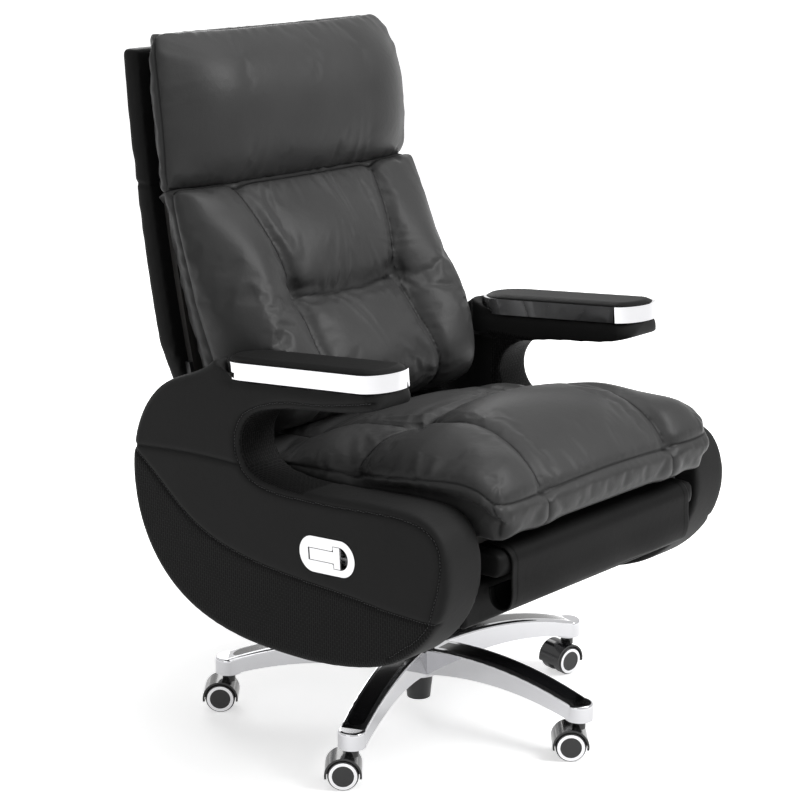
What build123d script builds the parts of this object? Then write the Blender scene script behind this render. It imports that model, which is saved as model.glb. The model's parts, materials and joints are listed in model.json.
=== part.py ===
from build123d import *
import os
from math import cos, radians, sin, sqrt, tan

# Executive recliner chair in millimetres. +Z is up, +X is the sitter's left, the front
# faces -Y, and the origin is on the floor under the swivel axis.

os.makedirs("parts", exist_ok=True)

# Fits
running_gap = 0.05  # radial clearance of a pin or rod that turns or slides
slide_gap = 0.5  # clearance beside a sliding rail
soft_gap = 0.4  # clearance between upholstered pieces and what carries them
trim_gap = 0.15  # clearance around set-in trim

# Casters
wheel_radius = 25
wheel_width = 19
wheel_gap = 12  # between the inner faces of the two wheels
wheel_edge = 3
ring_outer = 22.5
ring_inner = 17.5
ring_thick = 2.5
ring_depth = 1.5
axle_radius = 3
axle_end_wall = 2.5
axle_end_gap = 1
caster_trail = 14
stem_radius = 5.5
stem_in_hood = 12
stem_in_boss = 22
stem_end_gap = 1
hood_gap = 1.6
hood_wall = 3.4
hood_skirt = 5  # how far the hood comes down below the axle
hood_neck_radius = 11
hood_neck_height = 14.5
caster_play = 1.5  # between the hood and the boss of the base
caster_headings = (131.8, 131.8, 169.8, 75, 131.8)  # the way each caster trails

# Star base
arm_count = 5
first_arm_angle = -157.5
boss_reach = 325
boss_radius = 23
boss_height = 29
boss_edge = 5
arm_crest_reach = 110
arm_crest_height = 131
arm_arch_radius = 660
arm_depth = 37
arm_root_width = 56
arm_tip_width = 44
arm_edge = 5
hub_radius = 37
hub_height = 56
hub_drop = 4  # top of the hub below the crest of the arms
inlay_width = 29
inlay_depth = 3
inlay_start = 52
inlay_tip_margin = 8  # from the end of the inlay to the boss centre

# Gas lift
lift_tube_radius = 25
lift_tube_top = 238
lift_nose_radius = 20
lift_nose_bottom = 25
lift_floor = 40  # solid end of the tube under the bore
lift_rod_radius = 14
lift_rod_engaged = 130  # length of the rod inside the tube at rest
clip_radius = 11
clip_thick = 2
clip_pin_radius = 4.5
clip_pin_length = 5
lift_button_radius = 4
lift_button_height = 4

# Swivel plate and height lever
socket_radius = 27
socket_height = 38
plate_bottom = 340
plate_thick = 6
plate_half_width = 110
height_rod_radius = 5
height_pivot_x = -18
height_axis_rise = 13  # axis of the lever above the plate
height_pin_radius = 2.5
height_ear_gap = 9
height_ear_thick = 4
height_rod_inner = 8
paddle_swing_room = 20  # from the end of the paddle to the side panel
height_rod_drop = 96
paddle_length = 60
paddle_width = 26
paddle_thick = 10
height_ear_margin = 6
height_ear_near = 3  # from the pin axis to the edge beside the lift button
height_eye_wall = 4

# Side panels: outline points in (y, z) on the outer face
panel_outer = 360
panel_thick = 84
panel_edge = 12
panel_bottom = 210
panel_rear = 313
panel_front = -366
panel_shoulder = (232, 606)
lobe_height = 498  # top of the lobe beside the seat
notch_depth = 59  # y of the rear end of the notch under the arm
notch_roof = 601
arm_under_tip = (-228, 640)

# Armrests
armrest_tilt = 5  # front end up
armrest_front = -236
armrest_rear = 112
armrest_half_width = 49
armrest_nose = 40
armrest_tail = 64  # length of the rounding behind
armrest_proud = 2  # how far the trim stands out from the panel
armrest_top = 674  # height of the pad's edge plane at y = 0
trim_height = 27
trim_wall = 5
pad_crown = 5
pad_reveal = 1  # edge of the pad above the trim
pad_tail_gap = 4  # from the tip of the armrest to the leather behind it

# Seat frame
beam_width = 30
beam_height = 30
beam_wall = 3
beam_front_y = -190
beam_rear_y = 110
side_plate_thick = 6
side_plate_front = -320
side_plate_top = 432
side_plate_rear = 190
tab_length = 30
gusset = 40  # how far the rear corner of a side plate is cut back
ear_margin = 6
flange_width = 25
flange_thick = 3
panel_bolt_radius = 4
panel_bolt_head = 7
panel_bolt_head_height = 5
panel_bolt_grip = 30
panel_bolt_end_gap = 2
panel_bolt_points = ((-270, 362), (20, 362), (165, 400))

# Seat
seat_pan_thick = 12
seat_pan_front = -330
seat_pan_rear = 150
seat_pan_margin = 14
seat_side_gap = 8
seat_overlap = 8  # how far the cushion swells over the tops of the side panels
seat_front = -402
seat_rear = 196
seat_channel = 159
underside_thick = 4
underside_rear = 185
underside_gap = 1  # to the side panels
underside_hole_gap = 8
front_panel_thick = 12
front_panel_top = 372

# Footrest
board_front = -380
board_length = 294
board_bottom = 386
board_thick = 42
board_nose = 20
rail_depth = 12
rail_height = 36
rail_wall = 2
rail_front = -300
rail_length = 340
runner_front = -330
runner_clear = 8  # how far a runner stands out of its rail
runner_engaged = 80  # left in the rail when the footrest is out
footrest_travel = 250
apron_half_width = 228
apron_thick = 2.5
apron_bottom = 332
apron_fold = 20  # radius of the fold under the hanging part
apron_return = 362  # top of the leather behind the fold
apron_rear = -290

# Back
pivot_y = 235
pivot_z = 470
recline_angle = 35
pivot_radius = 6
pivot_shoulder = 10
pivot_head = 4
pivot_eye = 20
back_top = 1118
back_bottom = 470
back_foot_rear = 302  # y of the rear face at the bottom
back_radius = 3100
back_lean_height = 1310  # height where the rear face would stand upright
shell_thick = 38
shell_side_gap = 8  # from the shell to the planes of the panels' inner faces
shell_foot_gap = 30  # the same at the foot
shell_foot_top = 540
shell_flare_top = 640
shell_corner = 26
shell_sweep = 90  # radius where the sides flare out above the foot
shell_edge = 10
backboard_thick = 12
backboard_side_gap = 36
backboard_rise = 14  # bottom of the board above the bottom of the shell
backboard_head_gap = 26  # top of the board below the top of the shell
bracket_thick = 8
bracket_top = 610
cross_tube_radius = 7
cross_tube_rise = 4
cross_tube_gap = 1.5  # to the shoulder of the hinge bolt
bracket_rise = 4  # bottom of the strip above the bottom of the board
bracket_knee = 30
bracket_margin = 1  # from the edges of the board to the edges of the strip
hinge_play = 0.3
cushion_tuck = 16  # how far the cushion edges draw in at the board
wing_corner = 0.28  # from the side to the foremost line of a wing, over the wing's width
back_lever_arm = 80
back_lever_thick = 8
back_lever_half = 9
back_lever_pin_half = 14
spring_pin_radius = 5

# Recline gas spring
spring_radius = 14
spring_front = 0
spring_length = 165
spring_rod_radius = 5
spring_rod_front = 66
spring_head = 24
spring_head_lip = 2
spring_floor = 10
fork_gap = 1
fork_cheek = 6
fork_half_length = 12
fork_bridge_gap = 4
fork_bridge_thick = 6
fork_wall = 5
clamp_width = 46
clamp_length = 26
clamp_cover = 6

# Handle
handle_y = -131
handle_z = 397
handle_tilt = 4  # front end up
handle_length = 115
handle_height = 57
handle_plate_thick = 3
handle_proud = 1
cup_depth = 15
cup_wall = 2
cup_half_height = 20
cup_rear = -42
cup_front = 48
grip_rear = -36
grip_neck = 14
grip_front = 27
grip_half_neck = 9
grip_half_bar = 17
grip_play = 1
grip_rear_play = 3
handle_pin_radius = 1.5
handle_pin_inset = 6  # from the plate's face to the pin axis
handle_knuckle = 4

# Release cable
cable_radius = 2.5
cable_low = 341
chase_half = 8
chase_overlap = 2

# Derived places
panel_inner = panel_outer - panel_thick
plate_inner = panel_inner - side_plate_thick
plate_top = plate_bottom + plate_thick
beam_top = plate_top + beam_height
boss_bottom = 2 * wheel_radius + hood_neck_height + caster_play
boss_top = boss_bottom + boss_height
hood_top = boss_bottom - caster_play
hub_bottom = arm_crest_height - hub_height - hub_drop
arm_angles = [first_arm_angle + 360 / arm_count * k for k in range(arm_count)]
armrest_centre = panel_outer + armrest_proud - armrest_half_width
trim_depth = trim_height + pad_reveal
seat_bottom = side_plate_top + seat_pan_thick
underside_top = front_panel_top - 2 * tab_length - underside_thick
rail_middle = board_bottom + board_thick / 2
runner_inner = plate_inner - rail_depth - runner_clear
runner_length = rail_front - runner_front + footrest_travel + runner_engaged
back_front_inset = shell_thick + backboard_thick
backboard_bottom = back_bottom + backboard_rise
backboard_top = back_top - backboard_head_gap
backboard_half_width = panel_inner - backboard_side_gap
shell_half_width = panel_inner - shell_side_gap
shell_foot_half_width = panel_inner - shell_foot_gap
height_rod_outer = panel_inner - paddle_swing_room - paddle_length / 2


def save(piece, name):
    piece.part.label = name
    export_step(piece.part, f"parts/{name}.step")


def box_between(low, high, mode=Mode.ADD):
    """A block given by two opposite corners."""
    size = [h - l for l, h in zip(low, high)]
    with Locations(tuple(low)):
        Box(*size, align=(Align.MIN, Align.MIN, Align.MIN), mode=mode)


# Star base: one arched arm with a pocket for its inlay, repeated around the hub
def arm_top(reach, drop=0):
    """Height of the arm's arched top at a reach from the axis, drop below its skin."""
    radius = arm_arch_radius - drop
    centre = arm_crest_height - arm_arch_radius
    return centre + sqrt(radius**2 - (reach - arm_crest_reach) ** 2)


def inlay_blank(gap, rise):
    """The strip set into an arm, widened by gap and raised by rise."""
    start = inlay_start - gap
    end = boss_reach - inlay_tip_margin + gap
    middle = (start + end) / 2
    half = inlay_width / 2 + gap
    with BuildPart() as blank:
        with BuildSketch(Plane.XZ):
            with BuildLine():
                under = ThreePointArc(
                    (start, arm_top(start, inlay_depth)),
                    (middle, arm_top(middle, inlay_depth)),
                    (end, arm_top(end, inlay_depth)),
                )
                over = ThreePointArc(
                    (start, arm_top(start, -rise)),
                    (middle, arm_top(middle, -rise)),
                    (end, arm_top(end, -rise)),
                )
                Line(under @ 0, over @ 0)
                Line(under @ 1, over @ 1)
            make_face()
        extrude(amount=half, both=True)
        with BuildSketch():
            with Locations((start, 0)):
                Rectangle(end - start - half, 2 * half, align=(Align.MIN, Align.CENTER))
            with Locations((end - half, 0)):
                Circle(half)
        extrude(amount=2 * arm_crest_height, mode=Mode.INTERSECT)
    return blank.part


inlay_piece = inlay_blank(0, 0)
inlay_pocket = inlay_blank(trim_gap, inlay_depth)

with BuildPart() as star_arm:
    with BuildSketch(Plane.XZ):
        with BuildLine():
            half_reach = boss_reach / 2
            crest = ThreePointArc(
                (0, arm_top(0)), (half_reach, arm_top(half_reach)), (boss_reach, arm_top(boss_reach))
            )
            under = ThreePointArc(
                (0, hub_bottom),
                (half_reach, arm_top(half_reach) - arm_depth),
                (boss_reach, boss_bottom),
            )
            Line(crest @ 0, under @ 0)
            Line(crest @ 1, under @ 1)
        make_face()
    extrude(amount=arm_root_width, both=True)
    with BuildSketch():
        with BuildLine():
            Polyline(
                (0, -arm_root_width / 2),
                (boss_reach, -arm_tip_width / 2),
                (boss_reach, arm_tip_width / 2),
                (0, arm_root_width / 2),
                close=True,
            )
        make_face()
    extrude(amount=2 * arm_crest_height, mode=Mode.INTERSECT)
    crest_face = star_arm.faces().sort_by(Axis.Z)[-1]
    fillet(crest_face.edges().sort_by(SortBy.LENGTH)[-2:], radius=arm_edge)

with BuildPart() as star_base:
    with BuildSketch(Plane.XY.offset(hub_bottom)):
        Circle(hub_radius)
    extrude(amount=hub_height)
    with BuildSketch(Plane.XY.offset(boss_bottom)):
        with PolarLocations(boss_reach, arm_count, first_arm_angle):
            Circle(boss_radius)
    extrude(amount=boss_height)
    boss_tops = star_base.faces().filter_by(Axis.Z).filter_by_position(Axis.Z, boss_top, boss_top)
    fillet(boss_tops.edges(), radius=boss_edge)
    with PolarLocations(0, arm_count, first_arm_angle):
        add(star_arm.part)
    with PolarLocations(0, arm_count, first_arm_angle):
        add(inlay_pocket, mode=Mode.SUBTRACT)
    with BuildSketch(Plane.XY.offset(hub_bottom - hub_height)):
        Circle(lift_tube_radius)
    extrude(amount=4 * hub_height, mode=Mode.SUBTRACT)
    with BuildSketch(Plane.XY.offset(boss_bottom)):
        with PolarLocations(boss_reach, arm_count, first_arm_angle):
            Circle(stem_radius + running_gap)
    extrude(amount=stem_in_boss + stem_end_gap, mode=Mode.SUBTRACT)
save(star_base, "star_base")

with BuildPart() as arm_inlays:
    with PolarLocations(0, arm_count, first_arm_angle):
        add(inlay_piece)
save(arm_inlays, "arm_inlays")

# Gas lift: outer tube with its clip, and the rod that carries the seat
with BuildPart() as lift_outer_tube:
    with BuildSketch(Plane.XZ):
        with BuildLine():
            Polyline(
                (0, lift_nose_bottom),
                (lift_nose_radius, lift_nose_bottom),
                (lift_tube_radius, hub_bottom),
                (lift_tube_radius, lift_tube_top),
                (0, lift_tube_top),
                close=True,
            )
        make_face()
    revolve(axis=Axis.Z)
    with BuildSketch(Plane.XY.offset(lift_nose_bottom + lift_floor)):
        Circle(lift_rod_radius + running_gap)
    extrude(amount=lift_tube_top, mode=Mode.SUBTRACT)
    with BuildSketch(Plane.XY.offset(lift_nose_bottom - clip_pin_length)):
        Circle(clip_pin_radius)
    extrude(amount=2 * clip_pin_length)
save(lift_outer_tube, "lift_outer_tube")

with BuildPart() as lift_retaining_clip:
    with BuildSketch(Plane.XY.offset(lift_nose_bottom - clip_thick)):
        Circle(clip_radius)
        Circle(clip_pin_radius, mode=Mode.SUBTRACT)
    extrude(amount=clip_thick)
save(lift_retaining_clip, "lift_retaining_clip")

with BuildPart() as lift_piston:
    rod_bottom = lift_tube_top - lift_rod_engaged
    with BuildSketch(Plane.XY.offset(rod_bottom)):
        Circle(lift_rod_radius)
    extrude(amount=plate_top - rod_bottom)
    with BuildSketch(Plane.XY.offset(plate_top)):
        Circle(lift_button_radius)
    extrude(amount=lift_button_height)
save(lift_piston, "lift_piston")

# Caster pieces around a stem on the origin that trail towards +X
axle_plane = Plane(origin=(caster_trail, 0, wheel_radius), x_dir=(1, 0, 0), z_dir=(0, -1, 0))
wheel_inner = wheel_gap / 2
wheel_outer = wheel_inner + wheel_width
hood_cavity = wheel_radius + hood_gap
hood_radius = hood_cavity + hood_wall
web_half = wheel_inner - hood_gap / 2

with BuildPart() as hood_blank:
    with BuildSketch(axle_plane):
        Circle(hood_radius)
        with Locations((0, -hood_skirt)):
            Rectangle(3 * hood_radius, 2 * hood_radius, align=(Align.CENTER, Align.MAX), mode=Mode.SUBTRACT)
    extrude(amount=wheel_outer, both=True)
    with BuildSketch(Plane.XY.offset(hood_top - hood_neck_height)):
        Circle(hood_neck_radius)
    extrude(amount=hood_neck_height)
    for side in (-1, 1):
        with BuildSketch(axle_plane.offset(side * web_half)):
            Circle(hood_cavity)
        extrude(amount=side * 2 * wheel_width, mode=Mode.SUBTRACT)
    with BuildSketch(Plane.XY.offset(hood_top - stem_in_hood)):
        Circle(stem_radius)
    extrude(amount=2 * stem_in_hood, mode=Mode.SUBTRACT)
    with BuildSketch(axle_plane):
        Circle(axle_radius)
    extrude(amount=wheel_outer, both=True, mode=Mode.SUBTRACT)

with BuildPart() as pins_blank:
    with BuildSketch(Plane.XY.offset(hood_top - stem_in_hood)):
        Circle(stem_radius)
    extrude(amount=stem_in_hood + caster_play + stem_in_boss)
    with BuildSketch(axle_plane):
        Circle(axle_radius)
    extrude(amount=wheel_outer - axle_end_wall - axle_end_gap, both=True)

with BuildPart() as wheels_blank:
    for side in (-1, 1):
        with BuildSketch(axle_plane.offset(side * wheel_inner)):
            Circle(wheel_radius)
        extrude(amount=side * wheel_width)
    fillet(wheels_blank.edges().filter_by(GeomType.CIRCLE), radius=wheel_edge)
    for side in (-1, 1):
        with BuildSketch(axle_plane.offset(side * (wheel_outer - ring_depth))):
            Circle(ring_outer)
            Circle(ring_inner, mode=Mode.SUBTRACT)
        extrude(amount=side * 2 * ring_depth, mode=Mode.SUBTRACT)
        with BuildSketch(axle_plane.offset(side * wheel_inner)):
            Circle(axle_radius + running_gap)
        extrude(amount=side * (wheel_width - axle_end_wall), mode=Mode.SUBTRACT)

with BuildPart() as rings_blank:
    for side in (-1, 1):
        with BuildSketch(axle_plane.offset(side * (wheel_outer - ring_depth))):
            Circle(ring_outer)
            Circle(ring_inner, mode=Mode.SUBTRACT)
        extrude(amount=side * ring_thick)

caster_pieces = {"hood": hood_blank, "pins": pins_blank, "wheels": wheels_blank, "rings": rings_blank}
for number, (angle, heading) in enumerate(zip(arm_angles, caster_headings), start=1):
    stem_plane = Plane(
        origin=(boss_reach * cos(radians(angle)), boss_reach * sin(radians(angle)), 0),
        x_dir=(cos(radians(heading)), sin(radians(heading)), 0),
        z_dir=(0, 0, 1),
    )
    for name, blank in caster_pieces.items():
        with BuildPart() as caster_piece:
            with Locations(stem_plane):
                add(blank.part)
        save(caster_piece, f"caster_{number}_{name}")

# Swivel plate: socket on the lift rod, plate under the beams, ears for the height lever
plate_front_y = beam_front_y - beam_width / 2
plate_rear_y = beam_rear_y + beam_width / 2
height_axis_z = plate_top + height_axis_rise
with BuildPart() as swivel_plate:
    box_between(
        (-plate_half_width, plate_front_y, plate_bottom),
        (plate_half_width, plate_rear_y, plate_top),
    )
    with BuildSketch(Plane.XY.offset(plate_bottom - socket_height)):
        Circle(socket_radius)
    extrude(amount=socket_height)
    with BuildSketch(Plane.XY.offset(plate_bottom - socket_height)):
        Circle(lift_rod_radius + running_gap)
    extrude(amount=2 * socket_height, mode=Mode.SUBTRACT)
    for side in (-1, 1):
        ear_near = side * height_ear_gap
        ear_far = side * (height_ear_gap + height_ear_thick)
        box_between(
            (height_pivot_x - height_ear_margin, min(ear_near, ear_far), plate_top),
            (height_pivot_x + height_ear_near, max(ear_near, ear_far), height_axis_z + height_ear_margin),
        )
    with BuildSketch(Plane.XZ):
        with Locations((height_pivot_x, height_axis_z)):
            Circle(height_pin_radius)
    extrude(amount=2 * height_ear_gap, both=True, mode=Mode.SUBTRACT)
save(swivel_plate, "swivel_plate")

with BuildPart() as height_lever_pin:
    with BuildSketch(Plane.XZ):
        with Locations((height_pivot_x, height_axis_z)):
            Circle(height_pin_radius)
    extrude(amount=height_ear_gap + height_ear_thick, both=True)
save(height_lever_pin, "height_lever_pin")

with BuildPart() as height_lever:
    with BuildSketch(Plane.YZ.offset(-height_rod_outer)):
        with Locations((0, height_axis_z)):
            Circle(height_rod_radius)
    extrude(amount=height_rod_outer + height_rod_inner)
    with BuildSketch(Plane.XY.offset(height_axis_z - height_rod_drop)):
        with Locations((-height_rod_outer, 0)):
            Circle(height_rod_radius)
    extrude(amount=height_rod_drop)
    with Locations((-height_rod_outer, 0, height_axis_z)):
        Sphere(height_rod_radius)
    with BuildSketch(Plane.XY.offset(height_axis_z - height_rod_drop - paddle_thick)):
        with Locations((-height_rod_outer, 0)):
            SlotOverall(paddle_length, paddle_width)
    extrude(amount=paddle_thick)
    with BuildSketch(Plane.XZ):
        with Locations((height_pivot_x, height_axis_z)):
            Circle(height_pin_radius + height_eye_wall)
    extrude(amount=height_rod_radius, both=True)
    with BuildSketch(Plane.XZ):
        with Locations((height_pivot_x, height_axis_z)):
            Circle(height_pin_radius + running_gap)
    extrude(amount=2 * height_rod_radius, both=True, mode=Mode.SUBTRACT)
save(height_lever, "height_lever")


# Armrests lie on a plane that rises to the front
def armrest_plane(side):
    return Plane(
        origin=(side * armrest_centre, 0, armrest_top),
        x_dir=(1, 0, 0),
        z_dir=(0, sin(radians(armrest_tilt)), cos(radians(armrest_tilt))),
    )


def armrest_height(y):
    """Height of the pad's edge plane at y."""
    return armrest_top - tan(radians(armrest_tilt)) * y


def armrest_outline(inset):
    """Plan of the armrest: straight sides, a round nose and a longer round tail."""
    half = armrest_half_width - inset
    nose_y = armrest_front + armrest_nose
    tail_y = armrest_rear - armrest_tail
    with BuildLine() as outline:
        EllipticalCenterArc((0, nose_y), half, armrest_nose - inset, 180, arc_size=180)
        Line((half, nose_y), (half, tail_y))
        EllipticalCenterArc((0, tail_y), half, armrest_tail - inset, 0, arc_size=180)
        Line((-half, tail_y), (-half, nose_y))
    return outline.edges()


# Handle frame on the outer face of the right panel: x to the front, y up, z outward
handle_plane = Plane(
    origin=(-panel_outer, handle_y, handle_z),
    x_dir=(0, -cos(radians(handle_tilt)), sin(radians(handle_tilt))),
    z_dir=(-1, 0, 0),
)
plate_back = handle_proud - handle_plate_thick
cup_bottom = plate_back - cup_depth
cup_middle = (cup_rear + cup_front) / 2
cup_length = cup_front - cup_rear
cable_drop_x = -panel_outer + 4 * cable_radius
chase_top = handle_z - cup_half_height + chase_overlap


# Side panels: C-shaped padded walls whose upper arm carries the armrest
def panel_outline():
    arm_top_front = (armrest_front, armrest_height(armrest_front) - trim_depth)
    arm_top_rear = (0, armrest_height(0) - trim_depth)
    tail_y = armrest_rear + pad_tail_gap
    pad_rear = (tail_y, armrest_height(tail_y) - pad_reveal)
    ramp_y = 0.55 * armrest_rear
    shoulder_y, shoulder_z = panel_shoulder
    with BuildLine() as outline:
        Line(arm_under_tip, arm_top_front)
        Line(arm_top_front, arm_top_rear)
        ThreePointArc(arm_top_rear, (ramp_y, armrest_height(ramp_y) - 0.7 * trim_depth), pad_rear)
        Spline(
            pad_rear,
            (0.68 * shoulder_y, shoulder_z + 31),
            panel_shoulder,
            (panel_rear - 19, shoulder_z - 69),
            (panel_rear, shoulder_z - 156),
            (panel_rear - 32, panel_bottom + 119),
            (panel_rear - 102, panel_bottom + 48),
            (panel_rear - 203, panel_bottom + 10),
            (-20, panel_bottom),
            (panel_front + 190, panel_bottom + 16),
            (panel_front + 105, panel_bottom + 45),
            (panel_front + 37, panel_bottom + 101),
            (panel_front, lobe_height - 62),
            (panel_front + 26, lobe_height - 14),
            (panel_front + 96, lobe_height),
            (-130, lobe_height - 10),
            (notch_depth - 70, lobe_height - 13),
            (notch_depth - 16, lobe_height + 4),
            (notch_depth, lobe_height + 42),
            (notch_depth - 16, notch_roof - 24),
            (notch_depth - 66, notch_roof),
            (-120, 0.55 * notch_roof + 0.45 * arm_under_tip[1]),
            arm_under_tip,
        )
    return outline.edges()


def side_panel(side):
    face_x = -panel_outer if side < 0 else panel_inner
    inner_x = side * panel_inner
    overhang = 2 * armrest_half_width - armrest_proud - panel_thick
    arm_length = armrest_rear - armrest_front
    arm_depth_cut = armrest_height(armrest_front) - notch_roof
    with BuildPart() as panel:
        with BuildSketch(Plane.YZ.offset(face_x)):
            make_face(panel_outline())
        extrude(amount=panel_thick)
        outer_face = panel.faces().filter_by(Axis.X).sort_by(Axis.X)[0 if side < 0 else -1]
        fillet(outer_face.edges().sort_by(SortBy.LENGTH)[-1:], radius=panel_edge)
        with BuildSketch(Plane.YZ.offset(inner_x)):
            make_face(panel_outline())
            with Locations((armrest_front, notch_roof)):
                Rectangle(arm_length, arm_depth_cut, align=(Align.MIN, Align.MIN), mode=Mode.INTERSECT)
        extrude(amount=-side * overhang)
        with BuildSketch(armrest_plane(side)):
            with Locations((0, armrest_front + armrest_nose)):
                Rectangle(3 * armrest_half_width, 3 * armrest_nose, align=(Align.CENTER, Align.MAX))
            make_face(armrest_outline(0), mode=Mode.SUBTRACT)
        extrude(amount=-arm_depth_cut, mode=Mode.SUBTRACT)
        with BuildSketch(armrest_plane(side).offset(-trim_depth)):
            make_face(armrest_outline(-trim_gap))
        extrude(amount=2 * trim_height, mode=Mode.SUBTRACT)
        for y, z in panel_bolt_points:
            with BuildSketch(Plane.YZ.offset(inner_x)):
                with Locations((y, z)):
                    Circle(panel_bolt_radius)
            extrude(amount=side * panel_bolt_grip, mode=Mode.SUBTRACT)
        if side < 0:
            with BuildSketch(handle_plane):
                SlotOverall(handle_length + 2 * trim_gap, handle_height + 2 * trim_gap)
            extrude(amount=plate_back - trim_gap, mode=Mode.SUBTRACT)
            with BuildSketch(handle_plane):
                with Locations((cup_middle, 0)):
                    Rectangle(cup_length + 2 * trim_gap, 2 * cup_half_height + 2 * trim_gap)
            extrude(amount=cup_bottom - trim_gap, mode=Mode.SUBTRACT)
            box_between(
                (cable_drop_x - 0.75 * chase_half, handle_y - chase_half, cable_low - chase_half),
                (-panel_inner + chase_overlap, handle_y + chase_half, chase_top),
                mode=Mode.SUBTRACT,
            )
    return panel


side_names = {-1: "right", 1: "left"}
for side, word in side_names.items():
    save(side_panel(side), f"side_panel_{word}")

    with BuildPart() as armrest_trim:
        with BuildSketch(armrest_plane(side).offset(-trim_depth)):
            make_face(armrest_outline(0))
            make_face(armrest_outline(trim_wall), mode=Mode.SUBTRACT)
        extrude(amount=trim_height)
    save(armrest_trim, f"armrest_trim_{word}")

    pad_inset = trim_wall + trim_gap
    with BuildPart() as armrest_pad:
        with BuildSketch(armrest_plane(side).offset(-trim_depth)):
            make_face(armrest_outline(pad_inset))
        extrude(amount=trim_depth)
        with BuildSketch(armrest_plane(side)):
            make_face(armrest_outline(pad_inset))
        with BuildSketch(armrest_plane(side).offset(pad_crown)):
            make_face(armrest_outline(pad_inset + 2 * pad_crown))
        loft()
    save(armrest_pad, f"armrest_pad_{word}")

# Handle plate with its cup, the T-shaped handle and the pin it turns on
pin_level = handle_proud - handle_pin_inset


def handle_t_outline(play, rear_play):
    with BuildLine() as outline:
        Polyline(
            (grip_rear - rear_play, -grip_half_neck - play),
            (grip_neck - play, -grip_half_neck - play),
            (grip_neck - play, -grip_half_bar - play),
            (grip_front + play, -grip_half_bar - play),
            (grip_front + play, grip_half_bar + play),
            (grip_neck - play, grip_half_bar + play),
            (grip_neck - play, grip_half_neck + play),
            (grip_rear - rear_play, grip_half_neck + play),
            close=True,
        )
    return outline.edges()


handle_pin_plane = Plane(
    origin=handle_plane.from_local_coords(Vector(grip_rear + handle_knuckle, 0, pin_level)),
    x_dir=handle_plane.x_dir,
    z_dir=handle_plane.y_dir,
)
with BuildPart() as handle_plate:
    with BuildSketch(handle_plane.offset(plate_back)):
        SlotOverall(handle_length, handle_height)
    extrude(amount=handle_plate_thick)
    with BuildSketch(handle_plane.offset(cup_bottom)):
        with Locations((cup_middle, 0)):
            Rectangle(cup_length, 2 * cup_half_height)
    extrude(amount=cup_depth)
    with BuildSketch(handle_plane.offset(cup_bottom + cup_wall)):
        with Locations((cup_middle, 0)):
            Rectangle(cup_length - 2 * cup_wall, 2 * cup_half_height - 2 * cup_wall)
    extrude(amount=cup_depth - cup_wall, mode=Mode.SUBTRACT)
    with BuildSketch(handle_plane.offset(plate_back)):
        make_face(handle_t_outline(grip_play, grip_rear_play))
        with Locations((cup_front - cup_half_height - cup_wall, 0)):
            Circle(cup_half_height - cup_wall)
    extrude(amount=handle_plate_thick, mode=Mode.SUBTRACT)
    with BuildSketch(handle_pin_plane):
        Circle(handle_pin_radius)
    extrude(amount=cup_half_height, both=True, mode=Mode.SUBTRACT)
save(handle_plate, "handle_plate")

with BuildPart() as handle_pin:
    with BuildSketch(handle_pin_plane):
        Circle(handle_pin_radius)
    extrude(amount=cup_half_height, both=True)
save(handle_pin, "handle_pin")

with BuildPart() as recline_handle:
    with BuildSketch(handle_plane.offset(plate_back)):
        make_face(handle_t_outline(0, 0))
    extrude(amount=handle_plate_thick)
    with BuildSketch(handle_pin_plane):
        Circle(handle_knuckle)
    extrude(amount=grip_half_neck, both=True)
    with BuildSketch(handle_pin_plane):
        Circle(handle_pin_radius + running_gap)
    extrude(amount=grip_half_bar, both=True, mode=Mode.SUBTRACT)
save(recline_handle, "recline_handle")

# Seat frame: two channels across, side plates with tabs, flanges and hinge ears
ear_half = pivot_eye + ear_margin
with BuildPart() as seat_frame:
    for side in (-1, 1):
        plate_x = plate_inner if side > 0 else -panel_inner
        with BuildSketch(Plane.YZ.offset(plate_x)):
            with BuildLine():
                Polyline(
                    (side_plate_front, underside_top),
                    (side_plate_front + tab_length, underside_top),
                    (side_plate_front + tab_length, plate_top),
                    (side_plate_rear - gusset, plate_top),
                    (pivot_y + ear_half, pivot_z - gusset),
                    (pivot_y + ear_half, pivot_z + ear_half),
                    (pivot_y - ear_half, pivot_z + ear_half),
                    (side_plate_rear, side_plate_top),
                    (side_plate_front, side_plate_top),
                    close=True,
                )
            make_face()
        extrude(amount=side_plate_thick)
        flange_x = plate_inner - flange_width if side > 0 else -plate_inner
        box_between(
            (flange_x, side_plate_front, side_plate_top - flange_thick),
            (flange_x + flange_width, seat_pan_rear, side_plate_top),
        )
    for beam_y in (beam_front_y, beam_rear_y):
        box_between(
            (-plate_inner, beam_y - beam_width / 2, plate_top),
            (plate_inner, beam_y + beam_width / 2, beam_top),
        )
        box_between(
            (-plate_inner, beam_y - beam_width / 2 + beam_wall, plate_top),
            (plate_inner, beam_y + beam_width / 2 - beam_wall, beam_top - beam_wall),
            mode=Mode.SUBTRACT,
        )
    with BuildSketch(Plane.YZ):
        with Locations((pivot_y, pivot_z)):
            Circle(pivot_radius)
        with Locations(panel_bolt_points):
            Circle(panel_bolt_radius)
    extrude(amount=panel_outer, both=True, mode=Mode.SUBTRACT)
save(seat_frame, "seat_frame")

with BuildPart() as panel_bolts:
    for side in (-1, 1):
        for y, z in panel_bolt_points:
            with BuildSketch(Plane.YZ.offset(side * plate_inner)):
                with Locations((y, z)):
                    Circle(panel_bolt_radius)
            extrude(amount=side * (side_plate_thick + panel_bolt_grip - panel_bolt_end_gap))
            with BuildSketch(Plane.YZ.offset(side * plate_inner)):
                with Locations((y, z)):
                    RegularPolygon(panel_bolt_head, 6)
            extrude(amount=-side * panel_bolt_head_height)
save(panel_bolts, "panel_bolts")

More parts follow.
